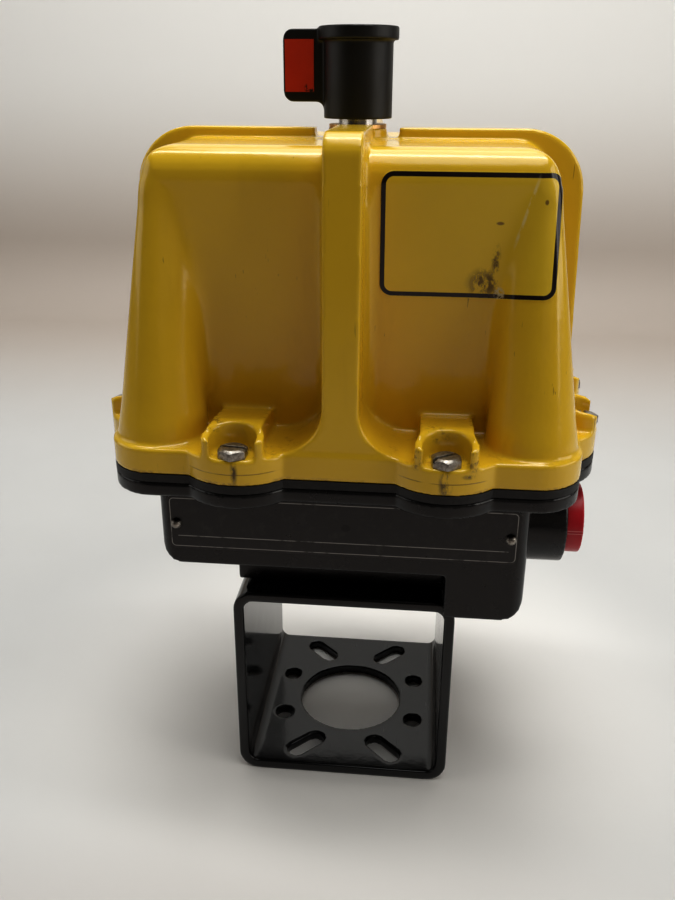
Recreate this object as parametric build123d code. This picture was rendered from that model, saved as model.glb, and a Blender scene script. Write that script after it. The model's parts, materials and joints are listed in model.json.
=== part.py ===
from build123d import *
import math
import os

# Quarter-turn electric valve actuator. Millimetres. The origin is on the output axis, at the
# bottom face of the mounting bracket. +Z is up, and -Y is the front.

# Clearances
running_gap = 0.05      # between a shaft and the bore it turns or slides in, on the radius
seat_gap = 0.02         # between a fixed round piece and its seat, on the radius
screw_gap = 0.4         # between a screw's shank and its hole, on the radius
loose_gap = 0.3         # between faces that are near each other but don't bear

# Mounting bracket: a length of square tube
tube_side = 101.6
tube_wall = 4.76
tube_length = 109.0
tube_corner = 9.5
valve_bore_radius = 26.9
valve_hole_radius = 4.45
valve_hole_x = 34.3
valve_hole_y = 16.5
slot_x = 19.5
slot_y = 40.0
slot_length = 20.8
slot_angle = 45.0
shaft_window_radius = 20.0

# Base housing
base_length = 158.0
base_depth = 130.0
base_corner = 6.0
base_wall = 5.0
base_height = 63.9          # from the bracket's top face to the flange's top face
base_flange_thickness = 6.5
left_underside = 20.4       # height of the left part's underside above the bracket
floor_thickness = 5.0
pad_left = 50.0
pad_depth = 84.0
deep_part_start = 45.0
deep_part_floor = 5.4
well_depth = 86.0
underside_corner = 10.0

# Flange outline, shared by the base, the gasket and the cover
flange_length = 195.0
flange_depth = 151.0
flange_corner = 20.0
lug_radius = 26.0
front_lug_x = 42.0
front_lug_y = 58.0
side_lug_x = 82.0
side_lug_y = 25.0
screw_edge = 5.5            # from a lug's outermost point in to its screw

gasket_thickness = 3.5

# Cover housing
cover_height = 126.0        # from the gasket to the dome's top
fin_rise = 4.5              # of the fin's top above the dome
rib_rise = 6.0
boss_rise = 4.2
cover_flange_thickness = 11.0
cover_wall = 5.0
dome_foot_x = 95.8
dome_foot_y = 67.5
dome_draft_x = 0.156
dome_draft_y = 0.09
dome_foot_corner = 14.0
dome_top_corner = 7.0
dome_side_round = 14.0
dome_front_round = 11.0
fin_half = 5.0
fin_foot_x = 98.5
fin_draft_x = 0.03
fin_round = 25.0
fin_notch_half = 17.8
fin_notch_depth = 4.0
rib_half = 7.3
rib_foot_y = 75.4
rib_draft_y = 0.035
rib_round = 9.0
pocket_back_y = 44.0        # of the pocket's back wall at the ledge
pocket_run_out = 0.7        # from where the back wall meets the dome's front up to the dome's rounding
pocket_round = 6.0
column_foot_radius = 18.5
column_top_radius = 5.0
column_rise = 5.5           # of the column's foot in front of the dome's front
# Where a column's inner side meets the pocket's back wall. Each row is a share of the pocket's
# height and the X there.
column_starts = [(0.0, 60.5), (0.3, 59.5), (0.55, 58.0), (0.7, 60.0), (0.85, 64.5), (1.0, 71.0), (1.05, 73.0)]
rib_foot_round = 19.0
guard_radius = 12.5
guard_wall = 3.0
guard_height = 11.0
guard_end_height = 7.0
guard_reach = 5.2           # of a guard's arms past its screw
guard_pad_half = 10.7
guard_pad_height = 8.0      # of the pad behind a guard, at the pocket's back wall
boss_margin = 0.5           # from the upper bush's flange out to the boss's edge
boss_depth = 19.0

# Label on the cover, and nameplate on the base
label_left = 13.1
label_right = 79.8
label_bottom = 70.8
label_top = 118.4
label_thickness = 0.3
label_corner = 5.0
plate_half = 74.6
plate_bottom = 28.2         # above the bracket
plate_height = 25.2
plate_thickness = 0.8
plate_corner = 3.0
drive_pin_x = 71.0
drive_pin_z = 40.4
drive_pin_radius = 2.4

# Cover screws: slotted hexagon heads
hex_across_flats = 11.1
hex_head_height = 4.0
cover_shank_radius = 3.1
slot_width = 1.6
slot_depth = 1.2

# Bracket screws
bracket_screw_spacing = 49.5
bracket_shank_radius = 4.0
bracket_head_radius = 6.5
bracket_head_height = 5.3
bracket_shank_reach = 16.0
washer_radius = 8.0
washer_thickness = 1.6

# Ground screw under the base's left part
ground_x = 50.5
ground_y = 52.0
ground_head_radius = 4.4
ground_head_height = 3.6
ground_shank_radius = 2.4

# Conduit entries
conduit_y = 29.0
conduit_z = 33.9            # above the bracket
conduit_boss_radius = 20.0
conduit_boss_end = 97.0
conduit_hole_radius = 13.0
plug_flange_radius = 15.6
plug_flange_thickness = 7.4
plug_shank_length = 16.0
plug_recess_radius = 10.5
plug_recess_depth = 12.0

# Output shaft and its bushes
drive_radius = 11.0
drive_flats = 16.0
drive_length = 23.0
journal_radius = 12.0
lower_bush_wall = 3.0
bush_flange_margin = 1.0    # from the shaft's shoulder out to the lower bush's flange edge
bush_flange_thickness = 2.0
shoulder_step = 4.5         # from the gear seat out to the shoulder's edge
shoulder_thickness = 4.0
gear_seat_step = 2.0        # from the shaft out to the gear seat
output_gear_thickness = 8.0
cam_shoulder_step = 1.0     # from the cam seat out to the shaft
socket_wall = 1.95
cam_level = 114.0           # height of the cam shoulder above the base's floor
shaft_top_above_cams = 34.0

# Override shaft and cap
override_radius = 8.0
override_lift = 9.5
override_socket_depth = 25.0
override_flats = 12.0
override_pin_radius = 2.0
override_pin_inset = 0.6    # from the cam seat in to the pin's end
override_pin_drop = 11.0    # below the output shaft's top
upper_bush_wall = 2.7
upper_bush_flange_step = 1.25
upper_bush_flange_thickness = 1.5
seal_thickness = 4.0
seal_step = 1.75            # from the upper bush out to the seal's edge
cap_gap = 2.2               # between the upper bush and the cap
cap_radius = 14.2
cap_height = 34.9
cap_lip_radius = 16.4
cap_lip_height = 5.1
cap_top_thickness = 3.0
flag_reach = 31.0
flag_bottom = 6.3
flag_top = 34.0
flag_thickness = 3.2
flag_corner = 4.0
marker_left = 30.3
marker_right = 18.3
marker_bottom = 10.1
marker_top = 30.1
marker_thickness = 0.3

# Gear train
pressure_angle = 25.0
addendum_share = 0.8
dedendum_share = 1.05
backlash = 0.12
output_teeth = 40
pinion_teeth = 10
output_module = 2.0
wheel_teeth = 36
motor_teeth = 12
wheel_module = 1.25
cluster_pin_radius = 5.0
cluster_washer_radius = 9.0
pinion_face_extra = 1.0
wheel_lift = 2.0
wheel_thickness = 6.0
motor_pinion_thickness = 8.0

# Gear plate
plate_clearance = 4.0       # between the gear plate and the base's inner wall
gear_plate_level = 26.0     # above the base's floor
gear_plate_thickness = 4.0
post_inset = 10.0           # from the base's inner wall to a post's axis
post_radius = 4.5
post_screw_radius = 2.2
post_screw_reach = 3.0

# Motor and brake
motor_radius = 23.5
motor_wall = 2.0
motor_height = 66.0
motor_flange_step = 6.0     # from the can out to the flange's edge
motor_wall_gap = 0.5        # from the flange to the base's inner wall
motor_flange_thickness = 4.0
motor_screw_step = 2.9      # from the can out to the screws' circle
motor_screw_radius = 1.8
rotor_gap = 4.5             # from the can's inner wall to the rotor
motor_shaft_radius = 4.0
bell_height = 8.0
brake_inset = 4.5           # from the motor can in to the brake's housing
brake_height = 14.0
brake_wall = 1.6
brake_disc_gap = 2.4
brake_disc_thickness = 3.0

# Capacitor
capacitor_inset = 5.0       # from the base's inner wall to the capacitor
capacitor_radius = 16.0
capacitor_height = 62.0
clamp_wall = 1.8
clamp_height = 14.0
clamp_foot = 2.0
clamp_screw_y = 25.0
small_screw_radius = 1.6
small_head_radius = 3.0
small_head_height = 2.0

# Cams, switches and levers
cam_wall = 3.0
lobe_rise = 3.0
lobe_angle = 50.0
cam_thickness = 5.0
cam_spacer_thickness = 6.0
cam_ring_thickness = 2.0
switch_depth = 10.0
switch_width = 20.0
switch_height = 7.0
lever_back_gap = 1.9        # from the lever's pivot to the switch's face
ear_thickness = 1.2
lever_thickness = 0.8
lever_height = 4.0
lever_bump_radius = 1.6
lever_pivot_y = 8.0
lever_pivot_gap = 2.3       # from the cam's lobe to the lever's pivot
lever_barrel_radius = 1.2
lever_pin_radius = 0.8
switch_bracket_thickness = 2.0
bracket_foot_length = 16.0
bracket_foot_screw_gap = 11.7   # from the bracket's upright to its foot's screws
bracket_foot_screw_y = 8.0

# Terminal strip
strip_length = 60.0
strip_width = 14.0
strip_height = 8.0
strip_y = 47.0
terminal_count = 8
terminal_screw_radius = 1.5

# Levels worked out from the sizes above
base_bottom = tube_side
base_top = base_bottom + base_height
base_underside = base_bottom + left_underside
floor = base_underside + floor_thickness
well_floor = base_bottom + deep_part_floor
base_flange_bottom = base_top - base_flange_thickness
cover_bottom = base_top + gasket_thickness
ledge = cover_bottom + cover_flange_thickness
dome_top = cover_bottom + cover_height
fin_top = dome_top + fin_rise
rib_top = dome_top + rib_rise
boss_top = dome_top + boss_rise
pocket_top = dome_top - dome_front_round - pocket_run_out
inner_x = base_length / 2 - base_wall
inner_y = base_depth / 2 - base_wall

# Radii that follow from each other along the two shafts
cam_seat_radius = override_radius + running_gap + socket_wall
shaft_radius = cam_seat_radius + cam_shoulder_step
gear_seat_radius = shaft_radius + gear_seat_step
shoulder_radius = gear_seat_radius + shoulder_step
lower_bush_radius = journal_radius + running_gap + lower_bush_wall
bush_flange_radius = max(shoulder_radius, lower_bush_radius) + bush_flange_margin
override_pin_half = cam_seat_radius - override_pin_inset
upper_bush_radius = override_radius + running_gap + upper_bush_wall
upper_bush_flange_radius = upper_bush_radius + upper_bush_flange_step
seal_radius = upper_bush_radius + seal_step
boss_radius = upper_bush_flange_radius + boss_margin
cam_radius = cam_seat_radius + cam_wall
lobe_radius = cam_radius + lobe_rise

# Places that follow from what stands beside them
motor_flange_radius = motor_radius + motor_flange_step
motor_screw_circle = motor_radius + motor_screw_step
motor_x = inner_x - motor_flange_radius - motor_wall_gap
rotor_radius = motor_radius - motor_wall - rotor_gap
brake_radius = motor_radius - brake_inset
brake_disc_radius = brake_radius - brake_wall - brake_disc_gap
capacitor_x = inner_x - capacitor_radius - capacitor_inset
lever_pivot_x = lobe_radius + lever_pivot_gap
switch_face_x = lever_pivot_x + lever_back_gap
switch_bracket_x = switch_face_x + switch_depth + switch_bracket_thickness
bracket_foot_screw_x = switch_bracket_x - bracket_foot_screw_gap

bush_flange_top = floor + bush_flange_thickness
gear_bottom = bush_flange_top + running_gap + shoulder_thickness
gear_top = gear_bottom + output_gear_thickness
wheel_bottom = gear_top + pinion_face_extra + wheel_lift
wheel_top = wheel_bottom + wheel_thickness
gear_plate_bottom = floor + gear_plate_level
gear_plate_top = gear_plate_bottom + gear_plate_thickness
cam_bottom = floor + cam_level
second_cam_bottom = cam_bottom + cam_thickness + cam_spacer_thickness
cam_ring_bottom = second_cam_bottom + cam_thickness
shaft_top = cam_bottom + shaft_top_above_cams
socket_bottom = shaft_top - override_socket_depth
override_pin_z = shaft_top - override_pin_drop
boss_bottom = boss_top - boss_depth
cap_bottom = boss_top + upper_bush_flange_thickness + cap_gap
cap_top = cap_bottom + cap_height
override_top = cap_top - cap_top_thickness
motor_bottom = gear_plate_top
motor_top = motor_bottom + motor_height
bell_top = motor_top + bell_height
brake_top = bell_top + brake_height

# Places of the gear axes: the cluster gear's pinion meshes with the output gear at one side,
# and its wheel meshes with the motor's pinion at the other.
output_pitch_radius = output_teeth * output_module / 2
pinion_pitch_radius = pinion_teeth * output_module / 2
wheel_pitch_radius = wheel_teeth * wheel_module / 2
motor_pitch_radius = motor_teeth * wheel_module / 2
output_distance = output_pitch_radius + pinion_pitch_radius
motor_distance = wheel_pitch_radius + motor_pitch_radius
cluster_x = (output_distance**2 - motor_distance**2 + motor_x**2) / (2 * motor_x)
cluster_y = math.sqrt(output_distance**2 - cluster_x**2)

bracket_screw_places = [
    (sx * bracket_screw_spacing / 2, sy * bracket_screw_spacing / 2) for sx in (-1, 1) for sy in (-1, 1)
]
post_x = inner_x - post_inset
post_y = inner_y - post_inset
post_places = [(sx * post_x, sy * post_y) for sx in (-1, 1) for sy in (-1, 1)]
lug_places = [(sx * front_lug_x, sy * front_lug_y) for sx in (-1, 1) for sy in (-1, 1)]
lug_places += [(sx * side_lug_x, sy * side_lug_y) for sx in (-1, 1) for sy in (-1, 1)]
front_screw_y = front_lug_y + lug_radius - screw_edge
side_screw_x = side_lug_x + lug_radius - screw_edge
front_screw_places = [(sx * front_lug_x, sy * front_screw_y) for sx in (-1, 1) for sy in (-1, 1)]
side_screw_places = [(sx * side_screw_x, sy * side_lug_y) for sx in (-1, 1) for sy in (-1, 1)]
cover_screw_places = front_screw_places + side_screw_places


def rod(radius, bottom, top, x=0, y=0):
    """An upright cylinder between two levels."""
    return Pos(x, y, (bottom + top) / 2) * Cylinder(radius, top - bottom)


def ring(outer, inner, bottom, top, x=0, y=0):
    """An upright tube between two levels."""
    return rod(outer, bottom, top, x, y) - rod(inner, bottom - 1, top + 1, x, y)


def block(x0, x1, y0, y1, z0, z1):
    """A box between two corners."""
    return Pos((x0 + x1) / 2, (y0 + y1) / 2, (z0 + z1) / 2) * Box(x1 - x0, y1 - y0, z1 - z0)


def flat_rod(radius, flats, bottom, top):
    """An upright cylinder with two flats, front and back."""
    return rod(radius, bottom, top) & block(-radius, radius, -flats / 2, flats / 2, bottom, top)


def rounded_slab(length, depth, corner, bottom, top):
    """A rounded rectangle, centred on the axis, between two levels."""
    return Pos(0, 0, bottom) * extrude(RectangleRounded(length, depth, corner), top - bottom)


def arch(plane, low, high, half_low, half_high, corner, half_width):
    """A slab with two rounded upper corners, whose sides draw in from half_low to half_high."""
    outline = FilletPolyline(
        (-half_low, low), (-half_high, high), (half_high, high), (half_low, low), radius=corner
    )
    section = make_face(outline + Line(outline @ 1, outline @ 0))
    return extrude(plane * section, half_width, both=True)


def flange_slab(bottom, top, grow=0.0):
    """The flange outline between two levels, grown outwards by grow."""
    outline = RectangleRounded(flange_length + 2 * grow, flange_depth + 2 * grow, flange_corner + grow)
    for x, y in lug_places:
        outline += Pos(x, y) * Circle(lug_radius + grow)
    return Pos(0, 0, bottom) * extrude(outline, top - bottom)


def dome_half_x(z):
    """Half the dome's length at a level."""
    return dome_foot_x - dome_draft_x * (z - ledge)


def dome_half_y(z):
    """Half the dome's depth at a level."""
    return dome_foot_y - dome_draft_y * (z - ledge)


def dome_corner(z):
    """Radius of the dome's corners in plan at a level."""
    return dome_foot_corner + (dome_top_corner - dome_foot_corner) * (z - ledge) / (dome_top - ledge)


def dome(bottom, top, inset):
    """The dome's drafted, round-cornered body, drawn in all round by inset."""
    reach = top + 10
    sections = [
        Pos(0, 0, z) * RectangleRounded(
            2 * (dome_half_x(z) - inset), 2 * (dome_half_y(z) - inset), dome_corner(z) - inset
        )
        for z in (bottom, reach)
    ]
    body = loft(sections)
    proud = 0.05 - inset
    body &= arch(
        Plane.XZ, bottom - 1, top, dome_half_x(bottom - 1) + proud, dome_half_x(top) + proud,
        dome_side_round - inset, dome_foot_y * 2,
    )
    body &= arch(
        Plane.YZ, bottom - 1, top, dome_half_y(bottom - 1) + proud, dome_half_y(top) + proud,
        dome_front_round - inset / 2, dome_foot_x * 2,
    )
    return body


def column_place(z):
    """A corner column's radius at a level, and the X and Y of its axis."""
    share = (z - ledge) / (pocket_top - ledge)
    radius = column_foot_radius + share * (column_top_radius - column_foot_radius)
    return radius, dome_half_x(z) - radius, dome_half_y(z) + column_rise * (1 - share) - radius


def column(grow):
    """The round corner column right of the right front pocket, grown all round."""
    sections = []
    for z in (ledge - 1, pocket_top):
        radius, x, y = column_place(z)
        sections.append(Pos(x, -y, z) * Circle(radius + grow))
    return loft(sections)


def pocket_back(z):
    """Y of the pocket's leaning back wall at a level."""
    lean = (dome_half_y(pocket_top) - pocket_back_y) / (pocket_top - ledge)
    return -pocket_back_y - lean * (z - ledge)


def pocket_section(z, start_x, grow):
    """The pocket right of the front rib at one level, from the rib to the column's foremost line."""
    left = rib_half if grow <= 0 else 0
    back = pocket_back(z) + grow
    front = -flange_depth
    radius, end_x, column_y = column_place(z)
    end = (end_x, min(grow - column_y - radius, back - 1))
    start = (start_x + grow, back)
    across, ahead = end[0] - start[0], start[1] - end[1]
    bend = (across**2 + ahead**2) / (2 * ahead)
    axis_y = end[1] + bend
    start_turn = math.atan2(start[1] - axis_y, start[0] - end[0]) % (2 * math.pi)
    turn = (start_turn + 1.5 * math.pi) / 2
    middle = (end[0] + bend * math.cos(turn), axis_y + bend * math.sin(turn))
    edge = pocket_round * (1 - math.sqrt(0.5))
    outline = Line((left + pocket_round, back), start) + ThreePointArc(start, middle, end)
    outline += Polyline(end, (end[0], front), (left, front), (left, back - pocket_round))
    outline += ThreePointArc(
        (left, back - pocket_round), (left + edge, back - edge), (left + pocket_round, back)
    )
    return Pos(0, 0, z) * make_face(outline)


def pocket(bottom, grow):
    """The space in front of the dome between the front rib and the right corner column, grown all round."""
    sections = [pocket_section(bottom, column_starts[0][1], grow)]
    for share, start_x in column_starts[1:]:
        sections.append(pocket_section(ledge + share * (pocket_top - ledge), start_x, grow))
    return loft(sections, ruled=True)


def four_ways(shape):
    """A shape right of the front rib, with its mirror images left of the rib and at the back."""
    both = shape + mirror(shape, Plane.YZ)
    return both + mirror(both, Plane.XZ)


def hex_head(bottom, height, x, y):
    """A hexagon head with a screwdriver slot."""
    corner_radius = hex_across_flats / math.sqrt(3)
    head = Pos(x, y, bottom) * extrude(RegularPolygon(corner_radius, 6), height)
    top = bottom + height
    half = slot_width / 2
    slot = block(x - corner_radius, x + corner_radius, y - half, y + half, top - slot_depth, top + 1)
    return head - slot


def round_screw(x, y, bottom, head_radius, head_height, shank_radius, reach):
    """A round-headed screw whose head stands on a level and whose shank points down."""
    head = rod(head_radius, bottom, bottom + head_height, x, y)
    return head + rod(shank_radius, bottom - reach, bottom, x, y)


def involute_point(base_radius, radius, offset, side):
    """A point of a tooth's flank, at a radius, on one side of the tooth's middle."""
    roll = math.acos(base_radius / radius) if radius > base_radius else 0.0
    angle = offset - (math.tan(roll) - roll)
    return radius * math.cos(side * angle), radius * math.sin(side * angle)


def gear_outline(teeth, module, phase):
    """A spur gear's outline, with one tooth's middle at the angle phase, in degrees."""
    pitch_radius = teeth * module / 2
    base_radius = pitch_radius * math.cos(math.radians(pressure_angle))
    tip = pitch_radius + addendum_share * module
    root = pitch_radius - dedendum_share * module
    roll = math.radians(pressure_angle)
    offset = (math.pi * module / 2 - backlash) / 2 / pitch_radius + math.tan(roll) - roll
    start = max(root, base_radius)
    radii = [start + (tip - start) * step / 4 for step in range(5)]
    foot = [] if start == root else [root]
    tooth = [involute_point(base_radius, r, offset, -1) for r in foot + radii]
    tooth += [involute_point(base_radius, r, offset, 1) for r in reversed(foot + radii)]
    points = []
    for index in range(teeth):
        turn = math.radians(phase + index * 360 / teeth)
        points += [
            (x * math.cos(turn) - y * math.sin(turn), x * math.sin(turn) + y * math.cos(turn))
            for x, y in tooth
        ]
    return make_face(Polyline(*points, close=True))


def gear(teeth, module, phase, bottom, top, x=0, y=0):
    """A spur gear between two levels."""
    return Pos(x, y, bottom) * extrude(gear_outline(teeth, module, phase), top - bottom)


def meshed_phase(direction, teeth, phase, other_teeth):
    """The phase that puts the other gear in mesh, when it lies in a direction from this one."""
    share = (direction - phase) * teeth / 360
    return direction + 180 - (0.5 - share) * 360 / other_teeth


def mounting_bracket():
    """Square tube open at the front and back, with the valve's holes in its lower wall."""
    outer = RectangleRounded(tube_side, tube_side, tube_corner)
    inner = RectangleRounded(tube_side - 2 * tube_wall, tube_side - 2 * tube_wall, tube_corner - tube_wall)
    tube = extrude(Plane.XZ * (outer - inner), tube_length / 2, both=True)
    tube = Pos(0, 0, tube_side / 2) * tube
    low, high = -1, tube_wall + 1
    tube -= rod(valve_bore_radius, low, high)
    for sx in (-1, 1):
        for sy in (-1, 1):
            tube -= rod(valve_hole_radius, low, high, sx * valve_hole_x, sy * valve_hole_y)
            slot = Rot(0, 0, sx * sy * slot_angle) * SlotOverall(slot_length, 2 * valve_hole_radius)
            tube -= Pos(sx * slot_x, sy * slot_y, low) * extrude(slot, high - low)
    above = tube_side - tube_wall - 1
    tube -= rod(shaft_window_radius, above, tube_side + 1)
    for x, y in bracket_screw_places:
        tube -= rod(bracket_shank_radius + screw_gap, above, tube_side + 1, x, y)
    return tube


def bracket_screws():
    """Four screws that go up through the bracket's upper wall into the base."""
    seat = tube_side - tube_wall - washer_thickness
    return [
        rod(bracket_head_radius, seat - bracket_head_height, seat, x, y)
        + rod(bracket_shank_radius, seat, tube_side + bracket_shank_reach, x, y)
        for x, y in bracket_screw_places
    ]


def bracket_washers():
    """A washer under each bracket screw's head."""
    top = tube_side - tube_wall
    return [
        ring(washer_radius, bracket_shank_radius + screw_gap, top - washer_thickness, top, x, y)
        for x, y in bracket_screw_places
    ]


def base_body():
    """The outside of the base: left part, deeper right part, mounting pad and flange."""
    half_x = base_length / 2
    half_y = base_depth / 2
    body = rounded_slab(base_length, base_depth, base_corner, base_underside, base_top)
    body &= underside_rounding(-half_x, half_x, base_underside, base_top)
    deep = rounded_slab(base_length, base_depth, base_corner, base_bottom, base_top)
    deep &= block(deep_part_start, half_x, -half_y, half_y, base_bottom, base_top)
    deep &= underside_rounding(deep_part_start - half_x, half_x, base_bottom, base_top)
    pad_half = pad_depth / 2
    pad = block(-pad_left, deep_part_start + 1, -pad_half, pad_half, base_bottom, base_underside + 1)
    return body + deep + pad + flange_slab(base_flange_bottom, base_top)


def underside_rounding(left, right, bottom, top):
    """A slab seen from the front, with its lower corners rounded."""
    corners = (left, top), (left, bottom), (right, bottom), (right, top)
    outline = FilletPolyline(*corners, radius=underside_corner)
    section = make_face(outline + Line(outline @ 1, outline @ 0))
    return extrude(Plane.XZ * section, base_depth, both=True)


def conduit_axis(y, start, end, radius):
    """A cylinder along X on a conduit entry's axis."""
    centre = Pos((start + end) / 2, y, base_bottom + conduit_z)
    return centre * Rot(0, 90, 0) * Cylinder(radius, end - start)


def base_housing():
    """Cast base with its cavity, well, conduit bosses, bush bore and screw holes."""
    half_x = base_length / 2
    body = base_body()
    for y in (-conduit_y, conduit_y):
        body += conduit_axis(y, half_x - base_wall, conduit_boss_end, conduit_boss_radius)
    cavity = rounded_slab(2 * inner_x, 2 * inner_y, base_corner, floor, base_top + 1)
    cavity += block(
        deep_part_start + base_wall, inner_x, -well_depth / 2, well_depth / 2, well_floor, floor + 1
    )
    body -= cavity
    for y in (-conduit_y, conduit_y):
        body -= conduit_axis(y, half_x - 2 * base_wall, conduit_boss_end + 1, conduit_hole_radius)
    body -= rod(lower_bush_radius + seat_gap, base_bottom - 1, floor + 1)
    pin_hole = rod(cluster_pin_radius + seat_gap, floor - 3, floor + 1, cluster_x, cluster_y)
    body -= pin_hole
    for x, y in bracket_screw_places:
        hole_top = base_bottom + bracket_shank_reach + 1
        body -= rod(bracket_shank_radius + screw_gap, base_bottom - 1, hole_top, x, y)
    for x, y in post_places:
        body -= rod(post_screw_radius + screw_gap, floor - post_screw_reach - 0.5, floor + 1, x, y)
    for x, y in cover_screw_places:
        body -= rod(cover_shank_radius + screw_gap, base_flange_bottom + 1, base_top + 1, x, y)
    body -= rod(
        ground_shank_radius + screw_gap, base_underside - 1, base_underside + floor_thickness - 1,
        -ground_x, -ground_y,
    )
    for sx in (-1, 1):
        body -= drive_pin_hole(sx * drive_pin_x)
    return body


def drive_pin_hole(x):
    """A blind hole in the base's front face for a drive pin."""
    depth = base_wall - 1
    centre = Pos(x, -base_depth / 2 + depth / 2 - 1, base_bottom + drive_pin_z)
    return centre * Rot(90, 0, 0) * Cylinder(1.0 + loose_gap, depth + 2)


def flange_gasket():
    """Flat ring between the two flanges, with the screws' holes."""
    body = flange_slab(base_top, cover_bottom)
    opening = rounded_slab(2 * inner_x, 2 * inner_y, base_corner, base_top - 1, cover_bottom + 1)
    body -= opening
    for x, y in cover_screw_places:
        body -= rod(cover_shank_radius + screw_gap, base_top - 1, cover_bottom + 1, x, y)
    return body


def guard():
    """Walls round a screw at the origin, open to the front, with their tops sloping down to the front."""
    outline = Polyline(
        (-guard_reach, -1), (-guard_reach, guard_end_height), (guard_radius - guard_wall, guard_height),
        (guard_radius, guard_height), (guard_radius, -1), close=True,
    )
    walls = Pos(0, 0, ledge) * extrude(Plane.YZ * make_face(outline), guard_radius, both=True)
    return walls & ring(guard_radius, guard_radius - guard_wall, ledge - 2, ledge + 2 * guard_height)


def guard_pad():
    """Block from the guard of a screw at the origin to the pocket's back wall."""
    wall = front_screw_y - pocket_back_y + 1
    outline = Polyline(
        (0, -1), (0, guard_height), (guard_radius, guard_height), (wall, guard_pad_height), (wall, -1),
        close=True,
    )
    pad = Pos(0, 0, ledge) * extrude(Plane.YZ * make_face(outline), guard_pad_half, both=True)
    return pad - rod(guard_radius - guard_wall / 2, ledge - 2, ledge + 2 * guard_height)


def guard_walls():
    """The guards round the cover screws, with pads behind those at the front and back."""
    walls = Part()
    for x, y in side_screw_places:
        walls += Pos(x, y, 0) * Rot(0, 0, math.copysign(90, x)) * guard()
    for x, y in front_screw_places:
        turn = 0 if y < 0 else 180
        walls += Pos(x, y, 0) * Rot(0, 0, turn) * (guard() + guard_pad())
    return walls & flange_slab(ledge - 1, ledge + 2 * guard_height)


def front_rib(half_width):
    """The rib from front to back over the dome."""
    half_top = rib_foot_y - rib_draft_y * (rib_top - cover_bottom)
    return arch(Plane.YZ, cover_bottom, rib_top, rib_foot_y, half_top, rib_round, half_width)


def rib_feet():
    """The rib's foot, which widens to both sides in a concave round."""
    reach = rib_half + rib_foot_round
    feet = block(-reach, reach, -flange_depth, flange_depth, ledge - 1, ledge + rib_foot_round)
    for x in (-reach, reach):
        sweep = Rot(90, 0, 0) * Cylinder(rib_foot_round, 2 * flange_depth + 2)
        feet -= Pos(x, 0, ledge + rib_foot_round) * sweep
    return feet & front_rib(reach)


def cover_solid():
    """The outside of the cover, without its holes."""
    body = dome(ledge - 1, dome_top, 0) + four_ways(column(0)) - four_ways(pocket(ledge - 2, 0))
    fin_top_x = fin_foot_x - fin_draft_x * (fin_top - cover_bottom)
    fin = arch(Plane.XZ, cover_bottom, fin_top, fin_foot_x, fin_top_x, fin_round, fin_half)
    notch_floor = fin_top - fin_notch_depth
    fin -= block(-fin_notch_half, fin_notch_half, -2 * fin_half, 2 * fin_half, notch_floor, fin_top + 1)
    body += fin + front_rib(rib_half) + rib_feet()
    body += flange_slab(cover_bottom, ledge)
    body += guard_walls()
    body += rod(boss_radius, dome_top - cover_wall, boss_top)
    return body


def cover_cavity():
    """The hollow inside the cover."""
    cavity = dome(cover_bottom - 1, dome_top - cover_wall, cover_wall)
    return cavity - four_ways(pocket(cover_bottom - 3, cover_wall))


def cover_housing():
    """Cast cover with its cavity, shaft boss and screw holes."""
    body = cover_solid() - cover_cavity()
    body += rod(upper_bush_radius + 6, boss_bottom, dome_top)
    body -= rod(upper_bush_radius + seat_gap, boss_bottom - 1, boss_top + 1)
    body -= rod(boss_radius, boss_top, rib_top + 1)
    body -= rod(seal_radius + seat_gap, boss_bottom - 1, boss_bottom + seal_thickness)
    for x, y in cover_screw_places:
        body -= rod(cover_shank_radius + screw_gap, cover_bottom - 1, ledge + 1, x, y)
    return body


def label_backing(grow):
    """The dome's right front face, with its pocket, grown all round."""
    return dome(ledge, dome_top, -grow) + column(grow) - pocket(ledge - 1, -grow)


def cover_label():
    """Thin label that follows the pocket's back wall and the corner column."""
    middle_x = (label_left + label_right) / 2
    middle_z = cover_bottom + (label_bottom + label_top) / 2
    outline = RectangleRounded(label_right - label_left, label_top - label_bottom, label_corner)
    window = extrude(Plane.XZ.offset(dome_foot_y / 3) * outline, dome_foot_y)
    return (label_backing(label_thickness) - label_backing(0)) & Pos(middle_x, 0, middle_z) * window


def cover_screws():
    """Eight slotted hexagon screws."""
    return [
        hex_head(ledge, hex_head_height, x, y)
        + rod(cover_shank_radius, base_flange_bottom + 1.5, ledge + 0.5, x, y)
        for x, y in cover_screw_places
    ]


def nameplate():
    """Blank plate on the base's front face, with a hole for each drive pin."""
    front = -base_depth / 2
    outline = RectangleRounded(2 * plate_half, plate_height, plate_corner)
    body = extrude(Plane.XZ.offset(-front) * outline, plate_thickness)
    body = Pos(0, 0, base_bottom + plate_bottom + plate_height / 2) * body
    for sx in (-1, 1):
        body -= drive_pin_hole(sx * drive_pin_x)
    return body


def nameplate_pins():
    """Two dome-headed drive pins."""
    face = -base_depth / 2 - plate_thickness
    pins = []
    for sx in (-1, 1):
        z = base_bottom + drive_pin_z
        head = Pos(sx * drive_pin_x, face, z) * Sphere(drive_pin_radius)
        x = sx * drive_pin_x
        head &= block(
            x - drive_pin_radius, x + drive_pin_radius, face - drive_pin_radius, face,
            z - drive_pin_radius, z + drive_pin_radius,
        )
        shank = Pos(x, face + 1.5, z) * Rot(90, 0, 0) * Cylinder(1.0, 3.0)
        pins.append(head + shank)
    return pins


def ground_screw():
    """Round-headed screw under the base's left part."""
    head = rod(ground_head_radius, base_underside - ground_head_height, base_underside, -ground_x, -ground_y)
    return head + rod(ground_shank_radius, base_underside, base_underside + 3, -ground_x, -ground_y)


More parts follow.
